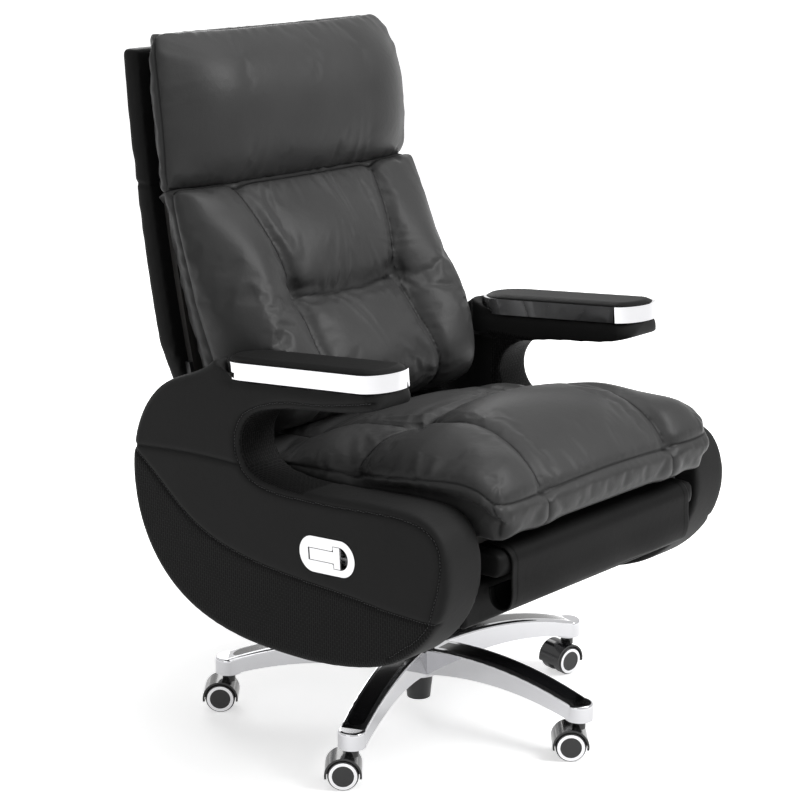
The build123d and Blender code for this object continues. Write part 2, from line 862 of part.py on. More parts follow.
# Seat pan, underside cover and lower front panel
with BuildPart() as seat_pan:
    pan_half = panel_inner - seat_pan_margin
    box_between((-pan_half, seat_pan_front, side_plate_top), (pan_half, seat_pan_rear, seat_bottom))
    fillet(seat_pan.edges().filter_by(Axis.Z), radius=seat_pan_thick)
save(seat_pan, "seat_pan")

with BuildPart() as underside_cover:
    box_between(
        (-panel_inner + underside_gap, side_plate_front, underside_top - underside_thick),
        (panel_inner - underside_gap, underside_rear, underside_top),
    )
    with BuildSketch(Plane.XY.offset(underside_top - 2 * underside_thick)):
        Circle(socket_radius + underside_hole_gap)
        with Locations((-height_rod_outer, 0)):
            SlotOverall(paddle_length + underside_hole_gap, paddle_width + underside_hole_gap)
    extrude(amount=4 * underside_thick, mode=Mode.SUBTRACT)
save(underside_cover, "underside_cover")

with BuildPart() as lower_front_panel:
    front_panel_y = side_plate_front - front_panel_thick
    box_between(
        (-panel_inner + underside_gap, front_panel_y, underside_top - underside_thick),
        (panel_inner - underside_gap, side_plate_front, front_panel_top),
    )
    front_edges = lower_front_panel.faces().sort_by(Axis.Y)[0].edges()
    fillet(front_edges, radius=front_panel_thick / 3)
save(lower_front_panel, "lower_front_panel")


# Seat cushion: crowned sections across the seat, three sewn bays, swelling over the panels
def seat_section(low_half, half, low, swell, pipe, bay, seam, crown):
    with BuildLine() as outline:
        Line((-low_half, low), (low_half, low))
        for side in (-1, 1):
            Line((side * low_half, low), (side * low_half, swell))
            ThreePointArc(
                (side * low_half, swell),
                (side * (low_half + 0.85 * (half - low_half)), swell + 0.3 * (pipe - swell)),
                (side * half, pipe),
            )
            ThreePointArc(
                (side * half, pipe),
                (side * (half + seat_channel) / 2, bay),
                (side * seat_channel, seam),
            )
        ThreePointArc((-seat_channel, seam), (0, seam + crown), (seat_channel, seam))
    return outline.edges()


seat_half = panel_inner - seat_side_gap
swell_half = panel_inner + seat_overlap
# each row: y, half widths low and at the piping, then heights over the pan of the
# bottom, swell, piping, side bay and channel seam, then the crown
seat_stations = (
    (seat_front, seat_half - 40, swell_half - 32, 24, 36, 48, 54, 51, 4),
    (seat_front + 12, seat_half - 16, swell_half - 10, 8, 38, 62, 82, 66, 8),
    (seat_front + 42, seat_half - 6, swell_half, 1.5, 56, 84, 122, 102, 12),
    (seat_front + 87, seat_half, swell_half, 0.4, 60, 90, 129, 130, 15),
    (seat_front + 150, seat_half, swell_half, 0.4, 60, 82, 129, 143, 16),
    (seat_front + 222, seat_half, swell_half - 2, 0.4, 54, 70, 122, 130, 18),
    (seat_front + 282, seat_half, seat_half + 4, 0.4, 46, 60, 113, 116, 16),
    (seat_front + 352, seat_half, seat_half + 1, 0.4, 38, 52, 99, 104, 14),
    (seat_front + 422, seat_half, seat_half + 1, 0.4, 36, 48, 85, 88, 12),
    (seat_front + 472, seat_half - 2, seat_half, 0.4, 32, 42, 62, 66, 8),
    (seat_front + 522, seat_half - 6, seat_half - 4, 0.4, 30, 38, 50, 52, 5),
    (seat_front + 562, seat_half - 10, seat_half - 7, 3, 27, 34, 43, 44, 4),
    (seat_rear, seat_half - 16, seat_half - 12, 10, 24, 32, 38, 39, 3),
)
with BuildPart() as seat_cushion:
    for y, low_half, half, low, swell, pipe, bay, seam, crown in seat_stations:
        with BuildSketch(Plane.XZ.offset(-y)):
            heights = [seat_bottom + soft_gap + value for value in (low, swell, pipe, bay, seam)]
            make_face(seat_section(low_half, half, *heights, crown))
    loft()
    split(bisect_by=Plane.XY.offset(seat_bottom + soft_gap), keep=Keep.TOP)
save(seat_cushion, "seat_cushion")

# Footrest: padded board between runners, rails on the side plates, apron over the nose
board_half = runner_inner
board_top = board_bottom + board_thick
with BuildPart() as footrest_board:
    box_between(
        (-board_half, board_front, board_bottom),
        (board_half, board_front + board_length, board_top),
    )
    nose_edges = footrest_board.faces().sort_by(Axis.Y)[0].edges().filter_by(Axis.X)
    fillet(nose_edges, radius=board_nose)
save(footrest_board, "footrest_board")

with BuildPart() as footrest_rails:
    for side in (-1, 1):
        rail_x = plate_inner - rail_depth if side > 0 else -plate_inner
        rail_rear = rail_front + rail_length
        cavity_half = rail_height / 2 - rail_wall
        cavity_x = rail_x if side > 0 else rail_x + rail_wall
        box_between(
            (rail_x, rail_front, rail_middle - rail_height / 2),
            (rail_x + rail_depth, rail_rear, rail_middle + rail_height / 2),
        )
        box_between(
            (cavity_x, rail_front, rail_middle - cavity_half),
            (cavity_x + rail_depth - rail_wall, rail_rear, rail_middle + cavity_half),
            mode=Mode.SUBTRACT,
        )
save(footrest_rails, "footrest_rails")

runner_outer = plate_inner - rail_wall - slide_gap
runner_half_height = rail_height / 2 - rail_wall - slide_gap
with BuildPart() as footrest_runners:
    for side in (-1, 1):
        low_x = runner_inner if side > 0 else -runner_outer
        high_x = low_x + runner_outer - runner_inner
        box_between(
            (low_x, runner_front, rail_middle - runner_half_height),
            (high_x, runner_front + runner_length, rail_middle + runner_half_height),
        )
save(footrest_runners, "footrest_runners")

apron_back = board_front - soft_gap
apron_over = board_top + soft_gap
apron_turn = board_nose + soft_gap
with BuildPart() as footrest_apron:
    with BuildSketch(Plane.YZ.offset(-apron_half_width)):
        with BuildLine():
            bend_y = apron_back + apron_turn
            bend_z = apron_over - apron_turn
            slant = sqrt(0.5)
            outer_turn = apron_turn + apron_thick
            fold_z = apron_bottom + apron_fold
            fold_y = apron_back - apron_thick + apron_fold
            fold_inner = apron_fold - apron_thick
            Line((apron_back, fold_z), (apron_back, bend_z))
            ThreePointArc(
                (apron_back, bend_z),
                (bend_y - slant * apron_turn, bend_z + slant * apron_turn),
                (bend_y, apron_over),
            )
            Polyline(
                (bend_y, apron_over),
                (apron_rear, apron_over),
                (apron_rear, apron_over + apron_thick),
                (bend_y, apron_over + apron_thick),
            )
            ThreePointArc(
                (bend_y, apron_over + apron_thick),
                (bend_y - slant * outer_turn, bend_z + slant * outer_turn),
                (apron_back - apron_thick, bend_z),
            )
            Line((apron_back - apron_thick, bend_z), (apron_back - apron_thick, fold_z))
            ThreePointArc(
                (fold_y - apron_fold, fold_z), (fold_y, apron_bottom), (fold_y + apron_fold, fold_z)
            )
            Polyline(
                (fold_y + apron_fold, fold_z),
                (fold_y + apron_fold, apron_return),
                (fold_y + fold_inner, apron_return),
                (fold_y + fold_inner, fold_z),
            )
            ThreePointArc(
                (fold_y + fold_inner, fold_z), (fold_y, fold_z - fold_inner), (apron_back, fold_z)
            )
        make_face()
    extrude(amount=2 * apron_half_width)
save(footrest_apron, "footrest_apron")


# Back: gently curved shell, board in front of it, cushions on the board
def back_face(z, inset=0):
    """y of the back's curved layers at height z, inset in front of the rear skin."""
    centre_y = back_foot_rear - sqrt(back_radius**2 - (back_bottom - back_lean_height) ** 2)
    return centre_y + sqrt((back_radius - inset) ** 2 - (z - back_lean_height) ** 2)


def back_layer(low, high, near, far):
    """Side outline of a curved layer between two heights and two depths."""
    middle = (low + high) / 2
    with BuildLine() as outline:
        rear = ThreePointArc(
            (back_face(low, near), low), (back_face(middle, near), middle), (back_face(high, near), high)
        )
        front = ThreePointArc(
            (back_face(low, far), low), (back_face(middle, far), middle), (back_face(high, far), high)
        )
        Line(rear @ 0, front @ 0)
        Line(rear @ 1, front @ 1)
    return outline.edges()


with BuildPart() as back_shell:
    with BuildSketch(Plane.YZ):
        make_face(back_layer(back_bottom, back_top, 0, shell_thick))
    extrude(amount=shell_half_width, both=True)
    with BuildSketch(Plane.XZ.offset(-2 * back_foot_rear)):
        with BuildLine():
            Polyline(
                (-shell_foot_half_width, back_bottom),
                (shell_foot_half_width, back_bottom),
                (shell_foot_half_width, shell_foot_top),
                (shell_half_width, shell_flare_top),
                (shell_half_width, back_top),
                (-shell_half_width, back_top),
                (-shell_half_width, shell_flare_top),
                (-shell_foot_half_width, shell_foot_top),
                close=True,
            )
        outline_face = make_face()
        corner_rows = outline_face.vertices().group_by(Axis.Y)
        fillet(corner_rows[1] + corner_rows[2], radius=shell_sweep)
        fillet(corner_rows[0] + corner_rows[-1], radius=shell_corner)
    extrude(amount=4 * back_foot_rear, mode=Mode.INTERSECT)
    rear_skin = back_shell.faces().sort_by(SortBy.AREA)[-2:].sort_by(Axis.Y)[-1]
    fillet(rear_skin.edges(), radius=shell_edge)
save(back_shell, "back_shell")

with BuildPart() as back_board:
    with BuildSketch(Plane.YZ):
        make_face(back_layer(backboard_bottom, backboard_top, shell_thick, back_front_inset))
    extrude(amount=backboard_half_width, both=True)
save(back_board, "back_board")

back_lever_swing = radians(recline_angle / 2)
back_lever_pin_y = pivot_y + back_lever_arm * sin(back_lever_swing)
back_lever_pin_z = pivot_z - back_lever_arm * cos(back_lever_swing)
bracket_inner = backboard_half_width
bracket_outer = bracket_inner + bracket_thick
tube_y = pivot_y + pivot_shoulder + cross_tube_radius + cross_tube_gap
tube_z = pivot_z + cross_tube_rise
with BuildPart() as back_bracket:
    strip_low = backboard_bottom + bracket_rise
    knee_z = strip_low + bracket_knee
    eye_reach = 0.8 * pivot_eye
    for side in (-1, 1):
        plate_x = bracket_inner if side > 0 else -bracket_outer
        with BuildSketch(Plane.YZ.offset(plate_x)):
            with Locations((pivot_y, pivot_z)):
                Circle(pivot_eye)
            with BuildLine():
                Polyline(
                    (pivot_y - pivot_radius, pivot_z + eye_reach),
                    (back_face(knee_z, back_front_inset) + bracket_margin, knee_z),
                    (back_face(bracket_top, back_front_inset) + bracket_margin, bracket_top),
                    (back_face(bracket_top, shell_thick) - bracket_margin, bracket_top),
                    (back_face(strip_low, shell_thick) - bracket_margin, strip_low),
                    (tube_y + cross_tube_radius, tube_z - cross_tube_radius),
                    (pivot_y, pivot_z - eye_reach),
                    close=True,
                )
            make_face()
            with Locations((pivot_y, pivot_z)):
                Circle(pivot_radius + running_gap, mode=Mode.SUBTRACT)
        extrude(amount=bracket_thick)
    with BuildSketch(Plane.YZ):
        with Locations((tube_y, tube_z)):
            Circle(cross_tube_radius)
    extrude(amount=bracket_inner + bracket_thick / 2, both=True)
    with BuildSketch(Plane.YZ):
        with BuildLine():
            Polyline(
                (tube_y - cross_tube_radius + bracket_margin, tube_z),
                (tube_y + bracket_margin, tube_z),
                (back_lever_pin_y + back_lever_half, back_lever_pin_z),
                (back_lever_pin_y - back_lever_half, back_lever_pin_z),
                close=True,
            )
        make_face()
        with Locations((back_lever_pin_y, back_lever_pin_z)):
            Circle(back_lever_half)
    extrude(amount=back_lever_thick / 2, both=True)
    with BuildSketch(Plane.YZ):
        with Locations((back_lever_pin_y, back_lever_pin_z)):
            Circle(spring_pin_radius)
    extrude(amount=back_lever_pin_half, both=True)
save(back_bracket, "back_bracket")

with BuildPart() as back_hinge_bolts:
    for side in (-1, 1):
        with BuildSketch(Plane.YZ.offset(side * (bracket_inner - pivot_head - hinge_play))):
            with Locations((pivot_y, pivot_z)):
                Circle(pivot_shoulder)
        extrude(amount=side * pivot_head)
        with BuildSketch(Plane.YZ.offset(side * (bracket_inner - pivot_head))):
            with Locations((pivot_y, pivot_z)):
                Circle(pivot_radius)
        extrude(amount=side * (panel_inner - bracket_inner + pivot_head))
        with BuildSketch(Plane.YZ.offset(side * (bracket_outer + hinge_play))):
            with Locations((pivot_y, pivot_z)):
                Circle(pivot_shoulder)
        extrude(amount=side * (plate_inner - bracket_outer - hinge_play))
save(back_hinge_bolts, "back_hinge_bolts")


# Back cushion: full wings, centre panel between two seams, waist seam across it
def back_section(z, half, seam, side_y, wing_y, seam_y, crown):
    rear_y = back_face(z, back_front_inset) - soft_gap
    rear_half = half - cushion_tuck
    wing = half - wing_corner * (half - seam)
    with BuildLine() as outline:
        Line((-rear_half, rear_y), (rear_half, rear_y))
        for side in (-1, 1):
            ThreePointArc(
                (side * rear_half, rear_y),
                (side * (half - cushion_tuck / 8), 0.4 * rear_y + 0.6 * side_y),
                (side * half, side_y),
            )
            ThreePointArc(
                (side * half, side_y),
                (side * (0.25 * wing + 0.75 * half), 0.35 * side_y + 0.65 * wing_y),
                (side * wing, wing_y),
            )
            ThreePointArc(
                (side * wing, wing_y),
                (side * (wing + seam) / 2, (wing_y + seam_y) / 2 - crown),
                (side * seam, seam_y),
            )
        ThreePointArc((-seam, seam_y), (0, seam_y - crown), (seam, seam_y))
    return outline.edges()


back_cushion_bottom = seat_bottom + 68
headrest_seam = 893
# each row: height, half width, x of the seam, then y of the side seam, wing and seam, then crown
back_stations = (
    (back_cushion_bottom, seat_half - 20, 140, 216, 122, 130, 4),
    (back_cushion_bottom + 18, seat_half - 16, 141, 210, 88, 98, 8),
    (560, seat_half - 12, 140, 206, 66, 76, 10),
    (595, seat_half - 9, 136, 210, 62, 74, 12),
    (630, seat_half - 6, 130, 219, 66, 94, 12),
    (675, seat_half, 126, 232, 82, 129, 9),
    (719, seat_half + 5, 123, 244, 109, 160, 4),
    (760, seat_half + 9, 128, 252, 141, 174, 10),
    (830, seat_half + 15, 146, 267, 194, 204, 12),
    (868, seat_half + 17, 156, 275, 223, 231, 9),
    (headrest_seam, seat_half + 18, 163, 282, 250, 262, 5),
)
with BuildPart() as back_cushion:
    for z, half, seam, side_y, wing_y, seam_y, crown in back_stations:
        with BuildSketch(Plane.XY.offset(z)):
            make_face(back_section(z, half, seam, side_y, wing_y, seam_y, crown))
    loft()
save(back_cushion, "back_cushion")


# Headrest cushion: full pillow sewn to the top of the back cushion
def headrest_section(z, half, side_y, front_y):
    rear_y = back_face(min(z, back_top), back_front_inset) - soft_gap
    rear_half = half - cushion_tuck
    with BuildLine() as outline:
        Line((-rear_half, rear_y), (rear_half, rear_y))
        for side in (-1, 1):
            ThreePointArc(
                (side * rear_half, rear_y),
                (side * (half - cushion_tuck / 8), 0.4 * rear_y + 0.6 * side_y),
                (side * half, side_y),
            )
            ThreePointArc(
                (side * half, side_y),
                (side * 0.82 * half, 0.3 * side_y + 0.7 * front_y),
                (side * 0.5 * half, front_y),
            )
        ThreePointArc((-0.5 * half, front_y), (0, front_y - 4), (0.5 * half, front_y))
    return outline.edges()


# each row: height, half width, y of the side seam, y of the front
headrest_stations = (
    (headrest_seam + 1, seat_half + 16, 292, 276),
    (headrest_seam + 30, seat_half + 20, 290, 246),
    (1000, seat_half + 21, 294, 232),
    (1070, seat_half + 18, 306, 242),
    (1120, seat_half + 8, 322, 272),
    (1148, seat_half - 6, 336, 318),
)
with BuildPart() as headrest_cushion:
    for z, half, side_y, front_y in headrest_stations:
        with BuildSketch(Plane.XY.offset(z)):
            make_face(headrest_section(z, half, side_y, front_y))
    loft()
save(headrest_cushion, "headrest_cushion")

# Recline gas spring on the rear beam, with a slotted fork on the lever's pin
back_lever_sag = back_lever_arm * (1 - cos(back_lever_swing))
spring_z = back_lever_pin_z - back_lever_sag / 2
slot_half_height = spring_pin_radius + back_lever_sag / 2 + fork_gap
cheek_inner = back_lever_thick / 2 + fork_gap
with BuildPart() as gas_spring_cylinder:
    with BuildSketch(Plane.XZ.offset(-spring_front)):
        with Locations((0, spring_z)):
            Circle(spring_radius)
    extrude(amount=-spring_length)
    box_between(
        (-spring_radius - spring_head_lip, spring_front - spring_head, spring_z - spring_radius),
        (spring_radius + spring_head_lip, spring_front, spring_z + spring_radius),
    )
    with BuildSketch(Plane.XZ.offset(-spring_front - spring_length)):
        with Locations((0, spring_z)):
            Circle(spring_rod_radius + running_gap)
    extrude(amount=spring_length - spring_floor, mode=Mode.SUBTRACT)
save(gas_spring_cylinder, "gas_spring_cylinder")

with BuildPart() as gas_spring_clamp:
    box_between(
        (-clamp_width / 2, beam_rear_y - clamp_length / 2, beam_top),
        (clamp_width / 2, beam_rear_y + clamp_length / 2, spring_z + spring_radius + clamp_cover),
    )
    with BuildSketch(Plane.XZ.offset(-beam_rear_y)):
        with Locations((0, spring_z)):
            Circle(spring_radius)
    extrude(amount=clamp_length, both=True, mode=Mode.SUBTRACT)
save(gas_spring_clamp, "gas_spring_clamp")

fork_bridge = back_lever_pin_y - fork_half_length - fork_bridge_gap
with BuildPart() as gas_spring_rod:
    with BuildSketch(Plane.XZ.offset(-spring_rod_front)):
        with Locations((0, spring_z)):
            Circle(spring_rod_radius)
    extrude(amount=-(fork_bridge - spring_rod_front))
    fork_half_height = slot_half_height + fork_wall
    fork_outer = cheek_inner + fork_cheek
    box_between(
        (-fork_outer, fork_bridge - fork_bridge_thick, spring_z - fork_half_height),
        (fork_outer, back_lever_pin_y + fork_half_length, spring_z + fork_half_height),
    )
    box_between(
        (-cheek_inner, fork_bridge, spring_z - 2 * fork_half_height),
        (cheek_inner, back_lever_pin_y + 2 * fork_half_length, spring_z + 2 * fork_half_height),
        mode=Mode.SUBTRACT,
    )
    with BuildSketch(Plane.YZ):
        with Locations((back_lever_pin_y, spring_z)):
            SlotOverall(2 * slot_half_height, 2 * spring_pin_radius + 2 * fork_gap, rotation=90)
    extrude(amount=2 * fork_outer, both=True, mode=Mode.SUBTRACT)
save(gas_spring_rod, "gas_spring_rod")

# Release cable from the cup of the handle to the head of the gas spring
cable_start_z = handle_z - cup_half_height - soft_gap
cable_head_y = spring_front - spring_head / 2
cable_points = (
    (cable_drop_x, handle_y, cable_start_z),
    (cable_drop_x, handle_y, cable_low),
    (-190, handle_y + 6, cable_low),
    (-120, handle_y + 50, 362),
    (-66, cable_head_y, spring_z),
    (-spring_radius - spring_head_lip, cable_head_y, spring_z),
)
with BuildPart() as release_cable:
    with BuildLine() as cable_route:
        FilletPolyline(*cable_points, radius=(14, 40, 40, 40))
    with BuildSketch(Plane(origin=cable_route.line @ 0, z_dir=cable_route.line % 0)):
        Circle(cable_radius)
    sweep()
save(release_cable, "release_cable")
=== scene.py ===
# %% [markdown]
# # A padded recliner chair
# The chair comes in as a finished frame: casters, star base, gas lift, seat frame and hinges
# are exact solids. This lesson dresses that frame. Every upholstered piece is made again as a
# soft form, every hard piece gets a finish, and each new piece is tied to the part it moves with.

# %% Load the frame
import json
import math
import bpy
import numpy as np
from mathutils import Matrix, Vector
from mathutils.bvhtree import BVHTree


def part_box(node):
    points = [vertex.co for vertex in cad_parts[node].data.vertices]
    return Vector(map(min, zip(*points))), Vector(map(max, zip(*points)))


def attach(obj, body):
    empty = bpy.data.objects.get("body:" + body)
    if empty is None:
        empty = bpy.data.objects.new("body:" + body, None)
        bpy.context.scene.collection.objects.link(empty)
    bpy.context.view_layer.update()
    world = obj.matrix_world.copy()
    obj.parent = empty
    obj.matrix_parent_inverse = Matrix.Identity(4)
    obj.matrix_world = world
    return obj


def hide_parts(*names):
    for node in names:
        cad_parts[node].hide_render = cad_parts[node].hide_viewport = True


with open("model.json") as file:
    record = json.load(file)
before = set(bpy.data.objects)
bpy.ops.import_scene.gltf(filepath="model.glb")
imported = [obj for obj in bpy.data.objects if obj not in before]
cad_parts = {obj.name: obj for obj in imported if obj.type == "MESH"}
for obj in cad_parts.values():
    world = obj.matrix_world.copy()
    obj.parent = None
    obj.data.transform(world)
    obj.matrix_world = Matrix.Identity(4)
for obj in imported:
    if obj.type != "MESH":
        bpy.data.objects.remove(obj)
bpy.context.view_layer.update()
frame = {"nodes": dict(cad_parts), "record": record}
nodes = frame["nodes"]
scene = bpy.context.scene
scene.view_settings.view_transform = "Standard"

# %% [markdown]
# ## Camera
# The picture was taken from the sitter's front right, a little above the armrests, with a long
# lens. A camera could be typed in as a place and three angles. Here it is placed by the direction
# that it looks back along, so that the view can be read from the numbers: 48 degrees round to the
# right and 15 degrees up.

# %% Camera
look_at = Vector((-0.0213, 0.0239, 0.5480))
camera_turn = math.radians(-48.2)
camera_rise = math.radians(14.8)
camera_distance = 3.612
film_width = 36
lens_length = 98.3
towards_camera = Vector((
    math.sin(camera_turn) * math.cos(camera_rise),
    -math.cos(camera_turn) * math.cos(camera_rise),
    math.sin(camera_rise),
))
camera = bpy.data.objects.new("camera", bpy.data.cameras.new("camera"))
scene.collection.objects.link(camera)
camera.data.sensor_width = film_width
camera.data.lens = lens_length
camera.location = look_at + towards_camera * camera_distance
camera.rotation_euler = towards_camera.to_track_quat("Z", "Y").to_euler()
scene.camera = camera
print("camera at", [round(v, 3) for v in camera.location])

# %% [markdown]
# ## Shader tools
# A finish is a small graph of nodes: textures, a few sums and one main shader. It could be drawn by
# hand in the shader editor. In Python the same few lines come back for every finish, so each gets a
# helper here, and a finish then reads as a short list of what it is made of.

# %% Materials and nodes
def shader(name):
    """A new material with its node tree and its main shader."""
    material = bpy.data.materials.new(name)
    material.use_nodes = True
    return material, material.node_tree, material.node_tree.nodes["Principled BSDF"]


def add(tree, kind, **settings):
    """A shader node; settings that are sockets go to the inputs, the rest to the node."""
    node = tree.nodes.new("ShaderNode" + kind)
    for key, value in settings.items():
        if key.replace("_", " ") in node.inputs:
            node.inputs[key.replace("_", " ")].default_value = value
        else:
            setattr(node, key, value)
    return node


def on_object(tree, *textures):
    """Fixes textures to the piece itself, so that they keep their scale and move with it."""
    place = add(tree, "TexCoord")
    for texture in textures:
        tree.links.new(place.outputs["Object"], texture.inputs["Vector"])


print("node helpers ready")

# %% [markdown]
# ## Values and colours in a graph
# Wear, grain and seams all start as a grey value between none and one. These helpers bring such a
# value to another range, put two of them through a sum, mix two colours by one, or raise the
# surface by one.

# %% Values and colours
def ramp(tree, source, low, high, start=0.0, end=1.0):
    """Maps a grey source from start..end to low..high."""
    node = add(tree, "MapRange", From_Min=start, From_Max=end, To_Min=low, To_Max=high)
    tree.links.new(source, node.inputs["Value"])
    return node.outputs["Result"]


def calc(tree, operation, first, second):
    """Two grey values put through one sum."""
    node = add(tree, "Math", operation=operation)
    tree.links.new(first, node.inputs[0])
    tree.links.new(second, node.inputs[1])
    return node.outputs[0]


def mixed(tree, share, first, second):
    """A colour that goes from the first, a colour or a socket, to the second with the share."""
    node = add(tree, "MixRGB", Color2=second)
    tree.links.new(share, node.inputs["Fac"])
    if isinstance(first, tuple):
        node.inputs["Color1"].default_value = first
    else:
        tree.links.new(first, node.inputs["Color1"])
    return node.outputs["Color"]


def bump(tree, height, strength, distance, over=None):
    """Raises the surface by a grey height, on top of an earlier bump if there is one."""
    node = add(tree, "Bump", Strength=strength, Distance=distance)
    tree.links.new(height, node.inputs["Height"])
    if over is not None:
        tree.links.new(over, node.inputs["Normal"])
    return node.outputs["Normal"]


def grey(tone):
    """An even grey as a colour socket takes it."""
    return (tone, tone, tone, 1)


def tinted(colour, share):
    """A colour made darker or lighter by one factor."""
    return (*[c * share for c in colour], 1)


print("value and colour helpers ready")

# %% [markdown]
# ## World
# Such a chair is pictured on white paper under large soft lamps. An evenly white world would light
# the leather from all sides and flatten it. So the world is white where it is looked at, also in
# chrome, and dim where it only gives light: the shape of black leather then comes from the lamps.

# %% World
def looked_at(tree):
    """One where a surface is seen by eye, in a mirror or through glass, none where it only lights."""
    path = add(tree, "LightPath")
    seen = path.outputs["Is Camera Ray"]
    for kind in ("Is Glossy Ray", "Is Transmission Ray"):
        seen = calc(tree, "MAXIMUM", seen, path.outputs[kind])
    return seen


world_light = 0.18
world = bpy.data.worlds.new("studio")
scene.world = world
world.use_nodes = True
world_tree = world.node_tree
background = world_tree.nodes["Background"]
background.inputs["Color"].default_value = grey(1)
world_level = ramp(world_tree, looked_at(world_tree), world_light, 1.0)
world_tree.links.new(world_level, background.inputs["Strength"])
print("world: white to look at, gives light at", world_light)

# %% [markdown]
# ## Paper floor
# The chair stands on the same white paper. A floor that is only lit turns grey at a distance, and
# one that only glows shows no shadow. This one glows less near the chair, where the lamps add the
# rest and the shadow stays, and fades to full white further out.

# %% Paper floor
floor_half = 30
near_glow, far_glow = 0.60, 1.0
near_reach, far_reach = 0.45, 1.5
paper, paper_tree, paper_shader = shader("white_paper")
paper_shader.inputs["Base Color"].default_value = grey(0.93)
paper_shader.inputs["Roughness"].default_value = 0.9
paper_shader.inputs["Specular IOR Level"].default_value = 0.1
paper_shader.inputs["Emission Color"].default_value = grey(1)
paper_place = add(paper_tree, "TexCoord")
paper_reach = add(paper_tree, "VectorMath", operation="LENGTH")
paper_tree.links.new(paper_place.outputs["Object"], paper_reach.inputs[0])
paper_fade = ramp(paper_tree, paper_reach.outputs["Value"], near_glow, far_glow, near_reach, far_reach)
paper_glow = calc(paper_tree, "MULTIPLY", paper_fade, looked_at(paper_tree))
paper_tree.links.new(paper_glow, paper_shader.inputs["Emission Strength"])
floor = bpy.data.objects.new("floor", bpy.data.meshes.new("floor"))
floor_corners = [(x * floor_half, y * floor_half, 0) for x, y in ((-1, -1), (1, -1), (1, 1), (-1, 1))]
floor.data.from_pydata(floor_corners, [], [(0, 1, 2, 3)])
floor.data.materials.append(paper)
scene.collection.objects.link(floor)
print("floor:", 2 * floor_half, "m of white paper")

# %% [markdown]
# ## Lamps
# Small lamps would put hard spots on the leather, so each lamp is a wide square, as a studio has
# them. One big lamp stands in front and one hangs overhead, with weaker ones at the near side and
# behind. Their power is low enough that a colour renders about as it is written.

# %% Lamps
def softbox(name, place, aim, size, power):
    """A square area lamp that faces a point."""
    lamp = bpy.data.objects.new(name, bpy.data.lights.new(name, "AREA"))
    lamp.data.size = size
    lamp.data.energy = power
    lamp.location = place
    lamp.rotation_euler = (Vector(place) - Vector(aim)).to_track_quat("Z", "Y").to_euler()
    scene.collection.objects.link(lamp)


softbox("front_lamp", place=(1.1, -2.6, 3.2), aim=(0, 0.1, 0.8), size=1.9, power=130)
softbox("top_lamp", place=(0.2, -0.2, 3.6), aim=(0, 0, 0.5), size=2.4, power=45)
softbox("side_lamp", place=(-3.4, -0.6, 1.6), aim=(0, 0, 0.5), size=1.8, power=10)
softbox("rear_lamp", place=(1.8, 3.2, 2.3), aim=(0, 0.2, 0.7), size=2.0, power=45)
print("lamps: front, top, side and rear")

# %% [markdown]
# ## Pressed dashes
# The lower part of each side panel is leather pressed with short staggered dashes. They are far too
# many to model, so they are a bump from a brick pattern: each brick is a dash that is pressed in, the
# joints are leather left standing, and a weight on the skin says where the leather is pressed.

# %% Pressed dashes
hollow_shade = 0.7
dash_depth = 0.0016


def press_dashes(tree, colour, normal):
    """Stamps dashes into a hide where its pressed weight is one, and paints shade into the hollows."""
    chart = add(tree, "UVMap", uv_map="dash_chart")
    dash = add(tree, "TexBrick", offset=0.5, offset_frequency=2, squash=1.0, Scale=100.0,
               Mortar_Size=0.11, Mortar_Smooth=0.6, Brick_Width=1.0, Row_Height=0.45)
    tree.links.new(chart.outputs["UV"], dash.inputs["Vector"])
    weight = add(tree, "Attribute", attribute_name="pressed").outputs["Fac"]
    depth = calc(tree, "MULTIPLY", dash.outputs["Fac"], weight)
    stamped = bump(tree, depth, 1.0, dash_depth, normal)
    # painted shade: the pressed hollows are darkened towards black, for the shade that falls in them
    hollow = calc(tree, "SUBTRACT", weight, depth)
    darker = mixed(tree, ramp(tree, hollow, 0.0, hollow_shade), colour, grey(0.002))
    return darker, stamped


print("pressed dashes:", dash_depth * 1000, "mm deep")

# %% [markdown]
# ## Leather
# Leather is a fine pebble pattern on a surface that changes a little in gloss from place to place.
# The pebbles come from Voronoi cells about a millimetre across, raised with a bump, a second bump
# gives soft creases, and a broad noise shifts tone and gloss. Seams are painted dark by a weight.
# The cushions have the palest hide, the side panels a firmer one, and the rest a plain dark one.

# %% Leather
def leather(name, tone, gloss, shine, grain, pressed=False):
    """Black hide: pebbled bump, uneven gloss, and a pressed dash pattern where asked."""
    material, tree, hide = shader(name)
    pebble = add(tree, "TexVoronoi", feature="SMOOTH_F1", Scale=820.0)
    crease = add(tree, "TexNoise", Scale=95.0, Detail=3.0)
    patch = add(tree, "TexNoise", Scale=9.0, Detail=2.0)
    on_object(tree, pebble, crease, patch)
    shade = mixed(tree, patch.outputs["Fac"], grey(0.8 * tone), grey(1.25 * tone))
    seam = add(tree, "Attribute", attribute_name="seam")
    colour = mixed(tree, seam.outputs["Fac"], shade, grey(0.0015))
    hide.inputs["Specular IOR Level"].default_value = shine
    uneven = ramp(tree, patch.outputs["Fac"], gloss - 0.05, gloss + 0.06)
    tree.links.new(uneven, hide.inputs["Roughness"])
    normal = bump(tree, pebble.outputs["Distance"], grain, 0.0004)
    normal = bump(tree, crease.outputs["Fac"], 0.25, 0.0012, normal)
    if pressed:
        colour, normal = press_dashes(tree, colour, normal)
    tree.links.new(colour, hide.inputs["Base Color"])
    tree.links.new(normal, hide.inputs["Normal"])
    return material


cushion_leather = leather("cushion_leather", tone=0.040, gloss=0.38, shine=0.12, grain=0.28)
panel_leather = leather("panel_leather", tone=0.018, gloss=0.55, shine=0.06, grain=0.22, pressed=True)
band_leather = leather("band_leather", tone=0.0095, gloss=0.5, shine=0.05, grain=0.22)
print("leathers:", cushion_leather.name, panel_leather.name, band_leather.name)

